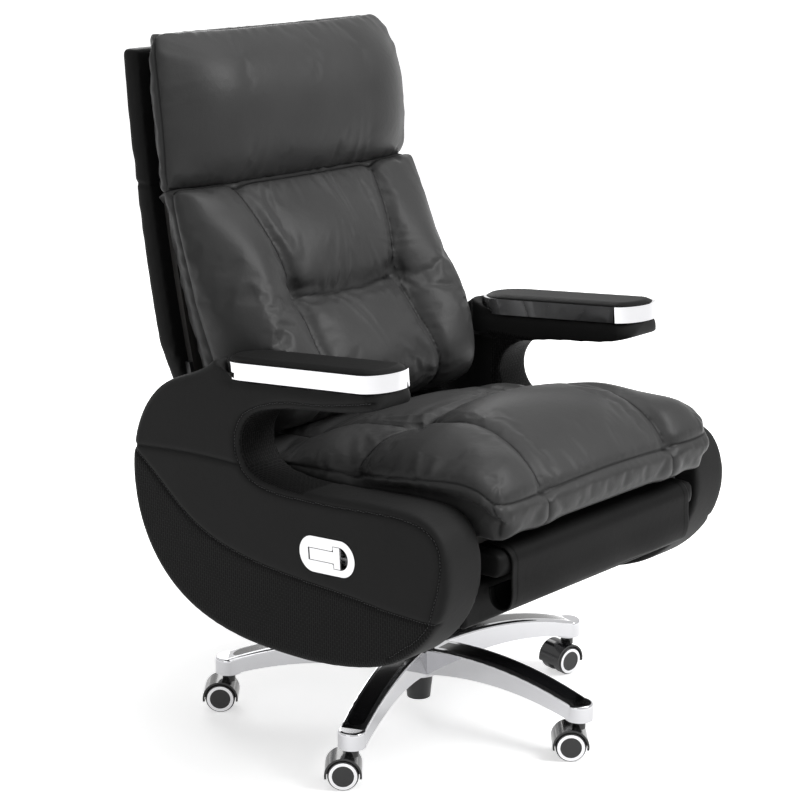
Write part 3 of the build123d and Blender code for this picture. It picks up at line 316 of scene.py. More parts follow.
# %% [markdown]
# ## Metal
# The base is polished, the armrest trims are chromed, and the steel inside is zinc plated. All are
# one kind of finish: a full metal whose colour and gloss vary with a noise, so that reflections
# break up slightly as on a surface that has been handled.

# %% Metal
def metal(name, colour, gloss, scratch):
    """Polished or satin metal with faint wear."""
    material, tree, surface = shader(name)
    surface.inputs["Metallic"].default_value = 1.0
    wear = add(tree, "TexNoise", Scale=38.0, Detail=4.0)
    on_object(tree, wear)
    tone = mixed(tree, wear.outputs["Fac"], tinted(colour, 0.94), tinted(colour, 1.0))
    tree.links.new(tone, surface.inputs["Base Color"])
    uneven = ramp(tree, wear.outputs["Fac"], gloss, gloss + scratch)
    tree.links.new(uneven, surface.inputs["Roughness"])
    return material


polished_base = metal("polished_base", (0.56, 0.56, 0.575), gloss=0.06, scratch=0.05)
chrome_trim = metal("chrome_trim", (0.76, 0.76, 0.775), gloss=0.03, scratch=0.03)
zinc_steel = metal("zinc_steel", (0.62, 0.62, 0.65), gloss=0.26, scratch=0.12)
satin_silver = metal("satin_silver", (0.66, 0.66, 0.67), gloss=0.2, scratch=0.08)
print("metals: polished, chrome, zinc and satin")

# %% [markdown]
# ## Plastic and paint
# Casters, inlays, painted steel and the cover under the seat are black, and differ in gloss and in
# how rough their skin is. A fine noise as a bump gives the slight orange peel of a moulded or
# painted surface, and a broader one keeps the colour from being dead even.

# %% Moulded and painted finishes
def moulded(name, colour, gloss, texture):
    """Moulded plastic, paint or rubber: even colour, a slight orange-peel skin."""
    material, tree, surface = shader(name)
    peel = add(tree, "TexNoise", Scale=420.0, Detail=2.0)
    cloud = add(tree, "TexNoise", Scale=24.0, Detail=2.0)
    on_object(tree, peel, cloud)
    tone = mixed(tree, cloud.outputs["Fac"], tinted(colour, 0.85), tinted(colour, 1.1))
    tree.links.new(tone, surface.inputs["Base Color"])
    uneven = ramp(tree, cloud.outputs["Fac"], gloss, gloss + 0.06)
    tree.links.new(uneven, surface.inputs["Roughness"])
    tree.links.new(bump(tree, peel.outputs["Fac"], texture, 0.0002), surface.inputs["Normal"])
    return material


gloss_black = moulded("gloss_black", (0.008, 0.008, 0.009), gloss=0.1, texture=0.05)
black_nylon = moulded("black_nylon", (0.014, 0.014, 0.015), gloss=0.35, texture=0.2)
black_steel = moulded("black_steel", (0.02, 0.02, 0.021), gloss=0.38, texture=0.25)
underside_board = moulded("underside_board", (0.018, 0.018, 0.018), gloss=0.7, texture=0.5)
cable_sheath = moulded("cable_sheath", (0.015, 0.015, 0.015), gloss=0.5, texture=0.2)
print("black finishes: gloss, nylon, steel, underside and cable")

# %% [markdown]
# ## Stained board, and a finish for every hard piece
# The boards in the seat and the back are plywood under a black stain, and a stretched wave gives
# the long grain. The record names a material slot for each piece, so one table from slot to finish
# dresses all the hard pieces in a single loop.

# %% Finishes
def veneer(name):
    """Black-stained plywood: long grain under the stain."""
    material, tree, surface = shader(name)
    grain = add(tree, "TexWave", Scale=26.0, Distortion=5.0, Detail=3.0)
    on_object(tree, grain)
    tone = mixed(tree, grain.outputs["Fac"], (0.014, 0.013, 0.012, 1), (0.024, 0.022, 0.020, 1))
    tree.links.new(tone, surface.inputs["Base Color"])
    surface.inputs["Roughness"].default_value = 0.65
    return material


finishes = {
    "polished_aluminium": polished_base,
    "chrome": chrome_trim,
    "gloss_black": gloss_black,
    "black_nylon": black_nylon,
    "zinc_steel": zinc_steel,
    "black_steel": black_steel,
    "black_board": veneer("black_board"),
    "satin_silver": satin_silver,
    "underside_board": underside_board,
    "cable_sheath": cable_sheath,
    "black_leather": band_leather,
}
for subpart in frame["record"]["subparts"]:
    piece = nodes[subpart["node"]]
    piece.data.materials.clear()
    piece.data.materials.append(finishes[subpart["material_slot"]])
print("finishes:", len(finishes), "on", len(nodes), "pieces")

# %% [markdown]
# ## How a cushion is made here
# A cushion starts as a copy of the plain solid that holds its place. It is rebuilt as an even
# skin of small squares, blown up a little as cloth with its seams held, and then sewn: each seam
# is a line on the skin that pulls the leather in, with gathers that fade out away from it. All of
# that moves many points at once, so the points are read into arrays and put back in one go.

# %% Points of a piece
def points_of(piece):
    """The places of a mesh's points, one row each."""
    co = np.empty(len(piece.data.vertices) * 3)
    piece.data.vertices.foreach_get("co", co)
    return co.reshape(-1, 3)


def put_points(piece, co):
    """Moves a mesh's points to the places given."""
    piece.data.vertices.foreach_set("co", np.ascontiguousarray(co, np.float32).ravel())
    piece.data.update()


def normals_of(piece):
    """The direction that faces out of the skin at each point."""
    normals = np.empty(len(piece.data.vertices) * 3)
    piece.data.vertex_normals.foreach_get("vector", normals)
    return normals.reshape(-1, 3)


def push(piece, move):
    """Moves each point out of the skin by its own distance, or in where that is below zero."""
    put_points(piece, points_of(piece) + normals_of(piece) * move[:, None])


def bell(gap, half):
    """One where the gap is none, fading out smoothly over about twice the half width."""
    return np.exp(-((gap / half) ** 2))


print("point helpers ready")

# %% [markdown]
# ## Skins
# The plain solid has long thin triangles that can't bend like leather. A voxel remesh gives it an
# even net, and a few rounds of smoothing ease its corners. Smoothing shrinks the form, so the skin
# is stretched back into the solid's own box.

# %% Skins
def apply_all(piece):
    """Makes what the modifiers show the piece's own mesh."""
    graph = bpy.context.evaluated_depsgraph_get()
    made = bpy.data.meshes.new_from_object(piece.evaluated_get(graph))
    piece.modifiers.clear()
    old, piece.data = piece.data, made
    bpy.data.meshes.remove(old)
    made.name = piece.name


def shade_smooth(piece):
    """Lets light run smoothly across the faces."""
    piece.data.polygons.foreach_set("use_smooth", np.ones(len(piece.data.polygons), bool))


def skin_from(node, name, voxel, rounds=4):
    """An even skin over a plain solid, with its corners eased, in the solid's own box."""
    piece = bpy.data.objects.new(name, nodes[node].data.copy())
    scene.collection.objects.link(piece)
    remesh = piece.modifiers.new("skin", "REMESH")
    remesh.mode = "VOXEL"
    remesh.voxel_size = voxel
    ease = piece.modifiers.new("ease", "SMOOTH")
    ease.factor = 0.5
    ease.iterations = rounds
    apply_all(piece)
    piece.data.materials.clear()
    shade_smooth(piece)
    low, high = (np.array(corner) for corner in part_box(node))
    co = points_of(piece)
    share = (co - co.min(axis=0)) / (co.max(axis=0) - co.min(axis=0))
    put_points(piece, low + share * (high - low))
    return piece


def finer(piece):
    """One level of subdivision, applied."""
    piece.modifiers.new("finer", "SUBSURF").levels = 1
    apply_all(piece)


print("skin helpers ready")

# %% [markdown]
# ## Seam lines
# A seam is drawn as a few points, and one that comes twice only for the chair's right side. A smooth
# curve is laid through them, mirrored where it is needed, and then moved onto the skin: to the nearest
# place, or straight along a direction when it is drawn as seen from above or from the front.

# %% Seam lines
both_sides = {"right": -1, "left": 1}
downwards, rearwards = (0, 0, -1), (0, 1, 0)
above_chair = 0.9
cuts_per_run = 12


def run_along(line):
    """How far along a line each of its points is."""
    return np.concatenate([[0], np.cumsum(np.linalg.norm(np.diff(line, axis=0), axis=1))])


def smooth_line(points, step=0.006):
    """A curve through the points, cut into even short runs."""
    pts = np.array(points, float)
    ends = np.vstack([2 * pts[0] - pts[1], pts, 2 * pts[-1] - pts[-2]])
    out = []
    for a, b, c, d in zip(ends[:-3], ends[1:-2], ends[2:-1], ends[3:]):
        bend = 2 * a - 5 * b + 4 * c - d
        twist = 3 * b - a - 3 * c + d
        for t in np.linspace(0, 1, cuts_per_run, endpoint=False):
            out.append(0.5 * (2 * b + (c - a) * t + bend * t**2 + twist * t**3))
    out = np.vstack([out, pts[-1]])
    run = run_along(out)
    even = np.linspace(0, run[-1], max(2, int(run[-1] / step)))
    return np.stack([np.interp(even, run, out[:, k]) for k in range(3)], axis=1)


def on_side(points, side):
    """Points drawn for the right side, where x is below zero, on the side asked for."""
    return [(-side * x, y, z) for x, y, z in points]


def seen_from_above(plan):
    """Points drawn in plan, held above the chair."""
    return [(x, y, above_chair) for x, y in plan]


def seen_from_front(view, ahead):
    """Points drawn in front view, held ahead of the skin."""
    return [(x, ahead, z) for x, z in view]


def on_skin(piece, line, direction=None):
    """The line moved onto the skin: from outside along a direction, or to the nearest place."""
    tree = BVHTree.FromObject(piece, bpy.context.evaluated_depsgraph_get())
    out = []
    for p in line:
        p = Vector(p)
        if direction is None:
            hit = tree.find_nearest(p)[0]
        else:
            hit = tree.ray_cast(p - Vector(direction), Vector(direction))[0]
        if hit is not None:
            out.append(hit)
    return np.array(out)


print("seam line helpers ready")

# %% [markdown]
# ## Sewing
# Along a real seam the thread pulls the leather into a narrow groove, the padding swells on both
# sides, and spare leather gathers in uneven folds. These could be sculpted by hand. Here they come
# from two numbers for each point, its distance from the seam and how far along it is, so that every
# seam is sewn the same way and can be set by a few values.

# %% Sewing
groove_half = 0.0028
dark_half = 0.0021
flat_half = 0.006
fold_lean, fold_sway = 0.35, 31
far_away = 9.0


def from_line(line, co):
    """For each point: its distance from a line and how far along the line it is nearest."""
    gap = np.full(len(co), far_away)
    run = np.zeros(len(co))
    start = 0.0
    for a, b in zip(line[:-1], line[1:]):
        d = b - a
        length = max(np.linalg.norm(d), 1e-9)
        t = np.clip(((co - a) @ d) / length**2, 0, 1)
        g = np.linalg.norm(co - a - t[:, None] * d, axis=1)
        near = g < gap
        gap[near] = g[near]
        run[near] = start + t[near] * length
        start += length
    return gap, run


def folds(run, pitch, seed):
    """Uneven ridges along a seam, between -0.4 and 1."""
    turn = 2 * np.pi / pitch
    beat = np.sin(turn * run + 1.6 * np.sin(turn * run / 3.3 + seed) + 2.1 * seed)
    swell = 0.55 + 0.45 * np.sin(turn * run / 4.7 + 3.3 * seed)
    return (np.clip(0.5 + 0.5 * beat, 0, 1) ** 1.6 * 1.4 - 0.4) * swell


def darken(piece, weight):
    """Adds to the weight that shows the dark line of a seam."""
    layer = piece.data.attributes.get("seam") or piece.data.attributes.new("seam", "FLOAT", "POINT")
    old = np.empty(len(piece.data.vertices), np.float32)
    layer.data.foreach_get("value", old)
    layer.data.foreach_set("value", np.maximum(old, weight).astype(np.float32))


def sew(piece, line, pull, width, groove=0.0016, gather=0.0, reach=0.04, pitch=0.028, seed=1.0,
        side=None):
    """Pulls the skin in along a seam and raises gathers beside it. side says where they are full."""
    co = points_of(piece)
    gap, run = from_line(line, co)
    move = -pull * bell(gap, width) - groove * bell(gap, groove_half)
    if gather:
        lean = run + fold_lean * gap * np.sin(run * fold_sway + seed)
        fade = np.exp(-((gap / reach) ** 1.5)) * (1 - bell(gap, flat_half))
        wave = gather * fade * folds(lean, pitch, seed)
        move += wave if side is None else wave * side(co)
    push(piece, move)
    darken(piece, bell(gap, dark_half))


print("sewing helpers ready")

# %% [markdown]
# ## Tucks
# Where two seams cross, the leather is drawn down into a deep dimple, and short folds run out from
# it like spokes. The dimple is a bell that points inwards, and the spokes follow the angle round it.

# %% Tucks
tuck_spokes = 7
pit_share = 0.35
ray_height = 0.16
ray_fade = 2.2


def tuck(piece, spot, depth, reach, seed, normal_axis):
    """A deep dimple where seams cross, with folds that radiate from it."""
    away = points_of(piece) - np.array(spot)
    gap = np.linalg.norm(away, axis=1)
    u, v = [k for k in range(3) if k != normal_axis]
    angle = np.arctan2(away[:, v], away[:, u])
    rays = np.cos(tuck_spokes * angle + seed + 1.3 * np.sin(2 * angle + seed))
    out = gap / reach
    move = -depth * bell(gap, pit_share * reach)
    move += ray_height * depth * rays * out * ray_fade * np.exp(-(out**2) * ray_fade)
    push(piece, move)


print("tucks have", tuck_spokes, "spokes")

# %% [markdown]
# ## Blowing up a cushion
# Foam pushes the leather out between its seams. Cloth with pressure inside does just that, and gives
# fuller forms than moving points by hand. The skin is first taken in a little to leave room, its
# seams and its underside are held, and no point may move further than a cap.

# %% What holds the leather
take_in = 0.005
take_in_half = 0.03
hold_half = 0.006
faces_down = -0.3


def draw_in(piece, held_lines, depth):
    """Takes the skin in between its seams, to leave room for the filling to push it out."""
    co = points_of(piece)
    gap = np.min([from_line(line, co)[0] for line in held_lines], axis=0)
    push(piece, -depth * (1 - bell(gap, take_in_half)))


def seam_hold(piece, held_lines, flat_below):
    """How firmly each point is held: one on a seam or on a flat underside, none away from them."""
    co = points_of(piece)
    held = np.zeros(len(co))
    for line in held_lines:
        gap, _ = from_line(line, co)
        held = np.maximum(held, np.clip(1.4 - gap / hold_half, 0, 1))
    if flat_below is not None:
        held[(co[:, 2] < flat_below) | (normals_of(piece)[:, 2] < faces_down)] = 1
    return held


print("seams hold the leather within", hold_half * 1000, "mm")

# %% [markdown]
# ## The cloth run
# The run is short, 20 frames with no gravity, which is enough for the leather to settle. Its result
# is applied to the mesh, so no simulation is left on the piece and every run gives the same form.

# %% The cloth run
foam_pressure = 4.0
furthest_move = 0.024
cloth_frames = 20


def blow_up(piece, held_lines, fullness, flat_below=None):
    """Cloth with pressure inside and its seams held; no point moves further than the cap."""
    draw_in(piece, held_lines, take_in)
    before = points_of(piece)
    held = seam_hold(piece, held_lines, flat_below)
    group = piece.vertex_groups.new(name="held")
    for weight in (0.25, 0.5, 0.75, 1.0):
        group.add(np.nonzero(held >= weight)[0].tolist(), weight, "REPLACE")
    cloth = piece.modifiers.new("cloth", "CLOTH")
    cloth.settings.quality = 5
    cloth.settings.mass = 0.3
    cloth.settings.tension_stiffness = 18
    cloth.settings.compression_stiffness = 18
    cloth.settings.bending_stiffness = 2.0
    cloth.settings.use_pressure = True
    cloth.settings.uniform_pressure_force = foam_pressure
    cloth.settings.shrink_min = -fullness
    cloth.settings.vertex_group_mass = "held"
    cloth.settings.effector_weights.gravity = 0
    cloth.collision_settings.use_collision = False
    cloth.point_cache.frame_start, cloth.point_cache.frame_end = 1, cloth_frames
    for number in range(1, cloth_frames + 1):
        scene.frame_set(number)
    apply_all(piece)
    scene.frame_set(1)
    move = points_of(piece) - before
    far = np.linalg.norm(move, axis=1)
    scale = np.minimum(1, furthest_move / np.maximum(far, 1e-9))
    put_points(piece, before + move * scale[:, None])
    piece.vertex_groups.clear()
    print(piece.name, "blown up, mean move", round(float(far.mean() * 1000), 1), "mm")


print("cloth runs for", cloth_frames, "frames")

# %% [markdown]
# ## Handing over a soft piece
# Each soft piece stands for the plain solid that it was made from. It hides that solid, takes its
# leather and rides on the same body.

# %% Handing over a soft piece
def finish_soft(piece, node, body, finish):
    """Gives a soft piece its leather and its body, and hides the plain solid that it stands for."""
    piece.data.materials.append(finish)
    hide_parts(node)
    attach(piece, body)


print("hand-over helper ready")

# %% [markdown]
# ## Stitches
# The seams of the side panels are top-stitched, so the thread lies on the leather and catches the
# light. A painted line would look flat close up. Each stitch is a short capsule of thread, laid on
# the skin, and all the stitches of one panel are one mesh.

# %% Thread
thread, thread_tree, thread_shader = shader("seam_thread")
twist_noise = add(thread_tree, "TexNoise", Scale=900.0)
thread_tone = mixed(thread_tree, twist_noise.outputs["Fac"], (0.02, 0.02, 0.021, 1), (0.04, 0.04, 0.042, 1))
thread_tree.links.new(thread_tone, thread_shader.inputs["Base Color"])
thread_shader.inputs["Roughness"].default_value = 0.6
stitch_pitch = 0.0055
stitch_length = 0.0038
thread_radius = 0.0005
thread_lift = 0.6 * thread_radius
thread_sides = 5
thread_rings = ((-0.5, 0.4), (-0.3, 1.0), (0.3, 1.0), (0.5, 0.4))


def stitch_points(middle, ahead, across, up):
    """The points of one stitch: rings along it, the end ones drawn in."""
    points = []
    for end, scale in thread_rings:
        for k in range(thread_sides):
            a = 2 * math.pi * k / thread_sides
            outwards = across * math.cos(a) + up * math.sin(a)
            points.append(middle + ahead * stitch_length * end + outwards * thread_radius * scale)
    return points


def stitch_faces(first):
    """The faces of one stitch whose points are numbered from first."""
    faces = []
    for ring in range(len(thread_rings) - 1):
        start = first + ring * thread_sides
        for k in range(thread_sides):
            m = (k + 1) % thread_sides
            faces.append([start + k, start + m, start + thread_sides + m, start + thread_sides + k])
    last = first + (len(thread_rings) - 1) * thread_sides
    faces.append([first + k for k in range(thread_sides - 1, -1, -1)])
    faces.append([last + k for k in range(thread_sides)])
    return faces


print("stitches every", stitch_pitch * 1000, "mm")

# %% [markdown]
# ## A row of stitches
# The stitches follow the seam's own line at an even pitch. Each is set on the nearest place of the
# skin and turned to lie along the seam, a little sunk, as thread under tension is.

# %% A row of stitches
def add_stitches(name, piece, lines, body):
    """Short thread capsules that lie along seams of a piece, as one mesh."""
    tree = BVHTree.FromObject(piece, bpy.context.evaluated_depsgraph_get())
    verts, faces = [], []
    for line in lines:
        run = run_along(line)
        for s in np.arange(stitch_pitch, run[-1] - stitch_pitch, stitch_pitch):
            ends = [Vector([np.interp(t, run, line[:, k]) for k in range(3)]) for t in (s, s + stitch_length)]
            hit, normal, _, _ = tree.find_nearest((ends[0] + ends[1]) / 2)
            ahead = (ends[1] - ends[0]).normalized()
            across = ahead.cross(normal).normalized()
            faces += stitch_faces(len(verts))
            verts += stitch_points(hit + normal * thread_lift, ahead, across, normal)
    stitches = bpy.data.objects.new(name, bpy.data.meshes.new(name))
    stitches.data.from_pydata(verts, [], faces)
    stitches.data.materials.append(thread)
    shade_smooth(stitches)
    scene.collection.objects.link(stitches)
    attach(stitches, body)


print("stitching helper ready")

# %% [markdown]
# ## Seams of the seat
# The seat is a thick pillow top. Two channels run front to back and one seam crosses them. Another
# seam runs all round the widest line of the seat, with short ones down its front and its corners.
# The channels are drawn in plan and dropped onto the skin, and the rim is drawn in the round.

# %% Seams of the seat
seat_rim_half = [
    (-0.257, 0.188, 0.476), (-0.261, 0.150, 0.479), (-0.264, 0.118, 0.482), (-0.268, 0.070, 0.487),
    (-0.269, 0.020, 0.492), (-0.269, -0.050, 0.496), (-0.272, -0.120, 0.504), (-0.282, -0.180, 0.514),
    (-0.284, -0.252, 0.526), (-0.284, -0.315, 0.534), (-0.283, -0.358, 0.530), (-0.272, -0.386, 0.514),
    (-0.240, -0.392, 0.508), (-0.159, -0.392, 0.509), (0.0, -0.393, 0.514),
]
seat_rim = seat_rim_half + on_side(seat_rim_half, both_sides["left"])[-2::-1]
seat_tuck_x, seat_tuck_y = 0.140, -0.128
seat_channel = seen_from_above([
    (-0.158, -0.388), (-0.157, -0.340), (-0.152, -0.250), (-0.143, -0.170), (-seat_tuck_x, seat_tuck_y),
    (-0.143, -0.060), (-0.150, 0.060), (-0.155, 0.160),
])
seat_cross = seen_from_above([
    (-0.268, -0.100), (-0.200, -0.112), (-seat_tuck_x, seat_tuck_y), (0.0, -0.118),
    (seat_tuck_x, seat_tuck_y), (0.200, -0.112), (0.268, -0.100),
])
seat_front_seam = seen_from_front([(-0.159, 0.508), (-0.160, 0.480), (-0.162, 0.455)], ahead=-0.6)
seat_corner_seam = [(-0.276, -0.384, 0.512), (-0.272, -0.388, 0.490), (-0.262, -0.384, 0.460)]


def seat_lines(skin):
    """The seams of the seat, laid on its skin."""
    lines = {"rim": on_skin(skin, smooth_line(seat_rim))}
    lines["cross"] = on_skin(skin, smooth_line(seat_cross), downwards)
    for word, side in both_sides.items():
        lines["channel_" + word] = on_skin(skin, smooth_line(on_side(seat_channel, side)), downwards)
        lines["front_" + word] = on_skin(skin, smooth_line(on_side(seat_front_seam, side)), rearwards)
        lines["corner_" + word] = on_skin(skin, smooth_line(on_side(seat_corner_seam, side)))
    return lines


print("seat seams: rim, cross, and 3 on each side")

# %% [markdown]
# ## Seat cushion
# On the real seat the leather bunches most behind the cross seam and along its sides, and a tuck
# pulls it down where the seams cross. So each seam has its own pull and gathers. The rear of the
# seat is raised at the end, where it runs up under the back.

# %% Seat cushion
def full_on_seat_sides(co):
    """Gathers are full on the sides of the seat and faint along its front."""
    return np.where(np.abs(co[:, 0]) > 0.25, 1.0, 0.2)


def full_behind_cross_seam(co):
    """Gathers are full behind the cross seam and weaker in front of it."""
    return np.where(co[:, 1] > -0.118, 1.0, 0.35)


def rise(values, start, run):
    """None up to a start, then rising to one over a run."""
    return np.clip((values - start) / run, 0, 1)


seat = skin_from("seat_cushion", "seat_cushion_leather", voxel=0.006)
seat_underside = 0.4485
blow_up(seat, list(seat_lines(seat).values()), fullness=0.005, flat_below=seat_underside)
finer(seat)
seams = seat_lines(seat)
sew(seat, seams["rim"], pull=0.003, width=0.010, gather=0.0017, reach=0.045, pitch=0.036, seed=1.3,
    side=full_on_seat_sides)
sew(seat, seams["cross"], pull=0.010, width=0.026, gather=0.0024, reach=0.075, pitch=0.036, seed=2.2,
    side=full_behind_cross_seam)
for word, seed in (("right", 0.6), ("left", 2.9)):
    sew(seat, seams["channel_" + word], pull=0.006, width=0.016,
        gather=0.0011, reach=0.03, pitch=0.030, seed=seed)
    sew(seat, seams["front_" + word], pull=0.002, width=0.010,
        gather=0.0006, reach=0.03, pitch=0.022, seed=seed)
    sew(seat, seams["corner_" + word], pull=0.002, width=0.010,
        gather=0.0008, reach=0.03, pitch=0.020, seed=seed)
for x, seed in ((-seat_tuck_x, 0.4), (seat_tuck_x, 1.9)):
    spot = on_skin(seat, seen_from_above([(x, seat_tuck_y)]), downwards)[0]
    tuck(seat, spot, depth=0.010, reach=0.07, seed=seed, normal_axis=2)
rear_raise = 0.012
co = points_of(seat)
rear_share = rise(co[:, 1], start=0.09, run=0.08) * rise(co[:, 2], start=0.450, run=0.02)
co[:, 2] += rear_raise * rear_share
put_points(seat, co)
finish_soft(seat, "seat_cushion", "seat", cushion_leather)
print("seat cushion:", len(seat.data.vertices), "points")

# %% [markdown]
# ## Seams of the back
# The back has a raised centre panel between two curved seams, with a seam across its waist and a
# lumbar swell below. Side seams close its wings, and a last line joins it to the headrest. The
# centre panel is drawn as seen from the front and cast back onto the skin.

# %% Seams of the back
waist_x, waist_z = 0.124, 0.722
back_ahead = -1
onto_back = (0, 2, 0)
back_centre_seam = seen_from_front([
    (-0.163, 0.889), (-0.156, 0.868), (-0.146, 0.830), (-0.135, 0.785), (-waist_x, waist_z),
    (-0.126, 0.675), (-0.131, 0.630), (-0.136, 0.595), (-0.140, 0.560), (-0.142, 0.526),
], back_ahead)
back_waist_seam = seen_from_front([
    (-waist_x, waist_z), (-0.060, 0.717), (0.0, 0.716), (0.060, 0.717), (waist_x, waist_z),
], back_ahead)
back_side_seam = [
    (-0.248, 0.216, 0.514), (-0.252, 0.210, 0.530), (-0.256, 0.206, 0.560), (-0.259, 0.210, 0.595),
    (-0.262, 0.219, 0.630), (-0.268, 0.232, 0.675), (-0.273, 0.244, 0.719), (-0.277, 0.252, 0.760),
    (-0.283, 0.267, 0.830), (-0.285, 0.275, 0.868), (-0.286, 0.282, 0.891),
]
back_top_line = [
    (-0.280, 0.280, 0.891), (-0.163, 0.262, 0.891), (0.0, 0.257, 0.891), (0.163, 0.262, 0.891),
    (0.280, 0.280, 0.891),
]


def back_lines(skin):
    """The seams of the back, laid on its skin."""
    lines = {"waist": on_skin(skin, smooth_line(back_waist_seam), onto_back)}
    lines["top"] = on_skin(skin, smooth_line(back_top_line))
    for word, side in both_sides.items():
        lines["centre_" + word] = on_skin(skin, smooth_line(on_side(back_centre_seam, side)), onto_back)
        lines["side_" + word] = on_skin(skin, smooth_line(on_side(back_side_seam, side)))
    return lines


print("back seams: waist, top, and 2 on each side")

# %% [markdown]
# ## Back cushion
# Leather bunches on both sides of the waist seam and below the headrest, so the gathers there are
# the longest. A tuck sits at each end of the waist seam. The top edge is stretched up at the end,
# so that it stays hidden under the headrest.

# %% Back cushion
def inside_centre_panel(co):
    """Gathers stay between the two curved seams."""
    return (np.abs(co[:, 0]) < 0.13).astype(float)


def full_below_headrest_middle(co):
    """Gathers are full in the middle and fade towards the wings."""
    return np.clip(1.6 - np.abs(co[:, 0]) / 0.1, 0.15, 1)


back = skin_from("back_cushion", "back_cushion_leather", voxel=0.006)
blow_up(back, list(back_lines(back).values()), fullness=0.008)
finer(back)
seams = back_lines(back)
sew(back, seams["waist"], pull=0.008, width=0.020, gather=0.0030, reach=0.055, pitch=0.032, seed=1.1,
    side=inside_centre_panel)
sew(back, seams["top"], pull=0.002, width=0.012, gather=0.0028, reach=0.075, pitch=0.036, seed=2.4,
    side=full_below_headrest_middle)
for word, seed in (("right", 0.9), ("left", 2.0)):
    sew(back, seams["centre_" + word], pull=0.005, width=0.014,
        gather=0.0010, reach=0.028, pitch=0.026, seed=seed)
    sew(back, seams["side_" + word], pull=0.002, width=0.009,
        gather=0.0013, reach=0.035, pitch=0.044, seed=seed + 1)
for x, seed in ((-waist_x, 0.2), (waist_x, 2.6)):
    spot = on_skin(back, seen_from_front([(x, waist_z)], back_ahead), onto_back)[0]
    tuck(back, spot, depth=0.009, reach=0.06, seed=seed, normal_axis=1)
top_stretch = 0.009
co = points_of(back)
co[:, 2] += top_stretch * rise(co[:, 2], start=0.862, run=0.028) ** 2
put_points(back, co)
finish_soft(back, "back_cushion", "back", cushion_leather)
print("back cushion:", len(back.data.vertices), "points")

# %% [markdown]
# ## Seams of the headrest
# The headrest is one full pillow sewn to the back below it. Its ends are closed by a stitched panel,
# so a seam runs up each end, and two more follow its lower and its upper edge.

# %% Seams of the headrest
headrest_end = [
    (-0.284, 0.292, 0.897), (-0.288, 0.290, 0.923), (-0.289, 0.294, 1.000), (-0.286, 0.306, 1.070),
    (-0.276, 0.322, 1.120), (-0.262, 0.334, 1.145),
]
headrest_low = [
    (-0.280, 0.284, 0.897), (-0.170, 0.272, 0.897), (0.0, 0.270, 0.897), (0.170, 0.272, 0.897),
    (0.280, 0.284, 0.897),
]
headrest_top = [
    (-0.255, 0.335, 1.144), (-0.130, 0.316, 1.146), (0.0, 0.314, 1.146), (0.130, 0.316, 1.146),
    (0.255, 0.335, 1.144),
]


def headrest_lines(skin):
    """The seams of the headrest, laid on its skin."""
    lines = {}
    for word, side in both_sides.items():
        lines[word] = on_skin(skin, smooth_line(on_side(headrest_end, side)))
    lines["low"] = on_skin(skin, smooth_line(headrest_low))
    lines["top"] = on_skin(skin, smooth_line(headrest_top))
    return lines


print("headrest seams: low, top and 2 ends")

# %% [markdown]
# ## Headrest cushion
# The leather puckers along both ends, a little along the top edge, and most above the lower seam,
# over the two curved seams of the back. Its foam is firm, so it is blown up the least.

# %% Headrest cushion
def full_above_centre_seams(co):
    """Gathers are full above the two curved seams of the back."""
    return 0.35 + 0.65 * bell(np.abs(co[:, 0]) - 0.17, 0.06)


headrest = skin_from("headrest_cushion", "headrest_cushion_leather", voxel=0.006)
blow_up(headrest, list(headrest_lines(headrest).values()), fullness=0.003)
finer(headrest)
seams = headrest_lines(headrest)
sew(headrest, seams["low"], pull=0.002, width=0.010, gather=0.0026, reach=0.050, pitch=0.044, seed=0.8,
    side=full_above_centre_seams)
sew(headrest, seams["top"], pull=0.002, width=0.010, gather=0.0010, reach=0.030, pitch=0.030, seed=1.7)
for word, seed in (("right", 0.5), ("left", 2.3)):
    sew(headrest, seams[word], pull=0.002, width=0.010, gather=0.0017, reach=0.045, pitch=0.042, seed=seed)
finish_soft(headrest, "headrest_cushion", "back", cushion_leather)
print("headrest cushion:", len(headrest.data.vertices), "points")

# %% [markdown]
# ## Seams of a side panel
# Each side is a thick padded wall covered in firm leather. A stitched seam runs a finger's width
# inside the front and notch edges, another crosses from the notch to the rear, and a third bounds
# the lower piece, which is pressed with dashes. They are drawn once in side view for both sides.

# %% Seams of a side panel
panel_edge_run = [
    (-0.224, 0.640), (-0.120, 0.619), (-0.055, 0.612), (-0.007, 0.601), (0.043, 0.577), (0.059, 0.540),
    (0.043, 0.502), (-0.011, 0.485), (-0.130, 0.488), (-0.270, 0.498), (-0.340, 0.484), (-0.366, 0.436),
    (-0.355, 0.370), (-0.329, 0.311), (-0.261, 0.255),
]
dash_limit = [
    (-0.346, 0.337), (-0.247, 0.337), (-0.177, 0.342), (-0.081, 0.345), (-0.006, 0.349), (0.050, 0.355),
    (0.107, 0.366), (0.160, 0.385), (0.202, 0.410), (0.255, 0.450), (0.308, 0.487),
]
rear_seam_run = [(0.305, 0.490), (0.172, 0.501), (0.062, 0.504)]
panel_seam_inset = 0.011
outside_panel = 0.6


def inset_run(run, inset):
    """A side-view run moved to its left, which is into the panel here."""
    run = np.array(run)
    ahead = np.gradient(run, axis=0)
    ahead /= np.linalg.norm(ahead, axis=1)[:, None]
    return run + inset * np.stack([-ahead[:, 1], ahead[:, 0]], axis=1)


def on_panel(panel, run, side):
    """A side-view run, laid on the outer face of the panel on one side of the chair."""
    line = smooth_line([(side * outside_panel, y, z) for y, z in run])
    return on_skin(panel, line, (-side, 0, 0))


print("side panel seams: edge, dash limit and rear")

# %% [markdown]
# ## Pressed zone and hard edges
# The dashes run level on the real panel, on its face and on its rim alike. So each face takes its
# chart from the two axes that it lies along, and a weight on the points says where the hide is
# pressed. Beside the bright trim the leather is taken in, so that the hard edge shows.

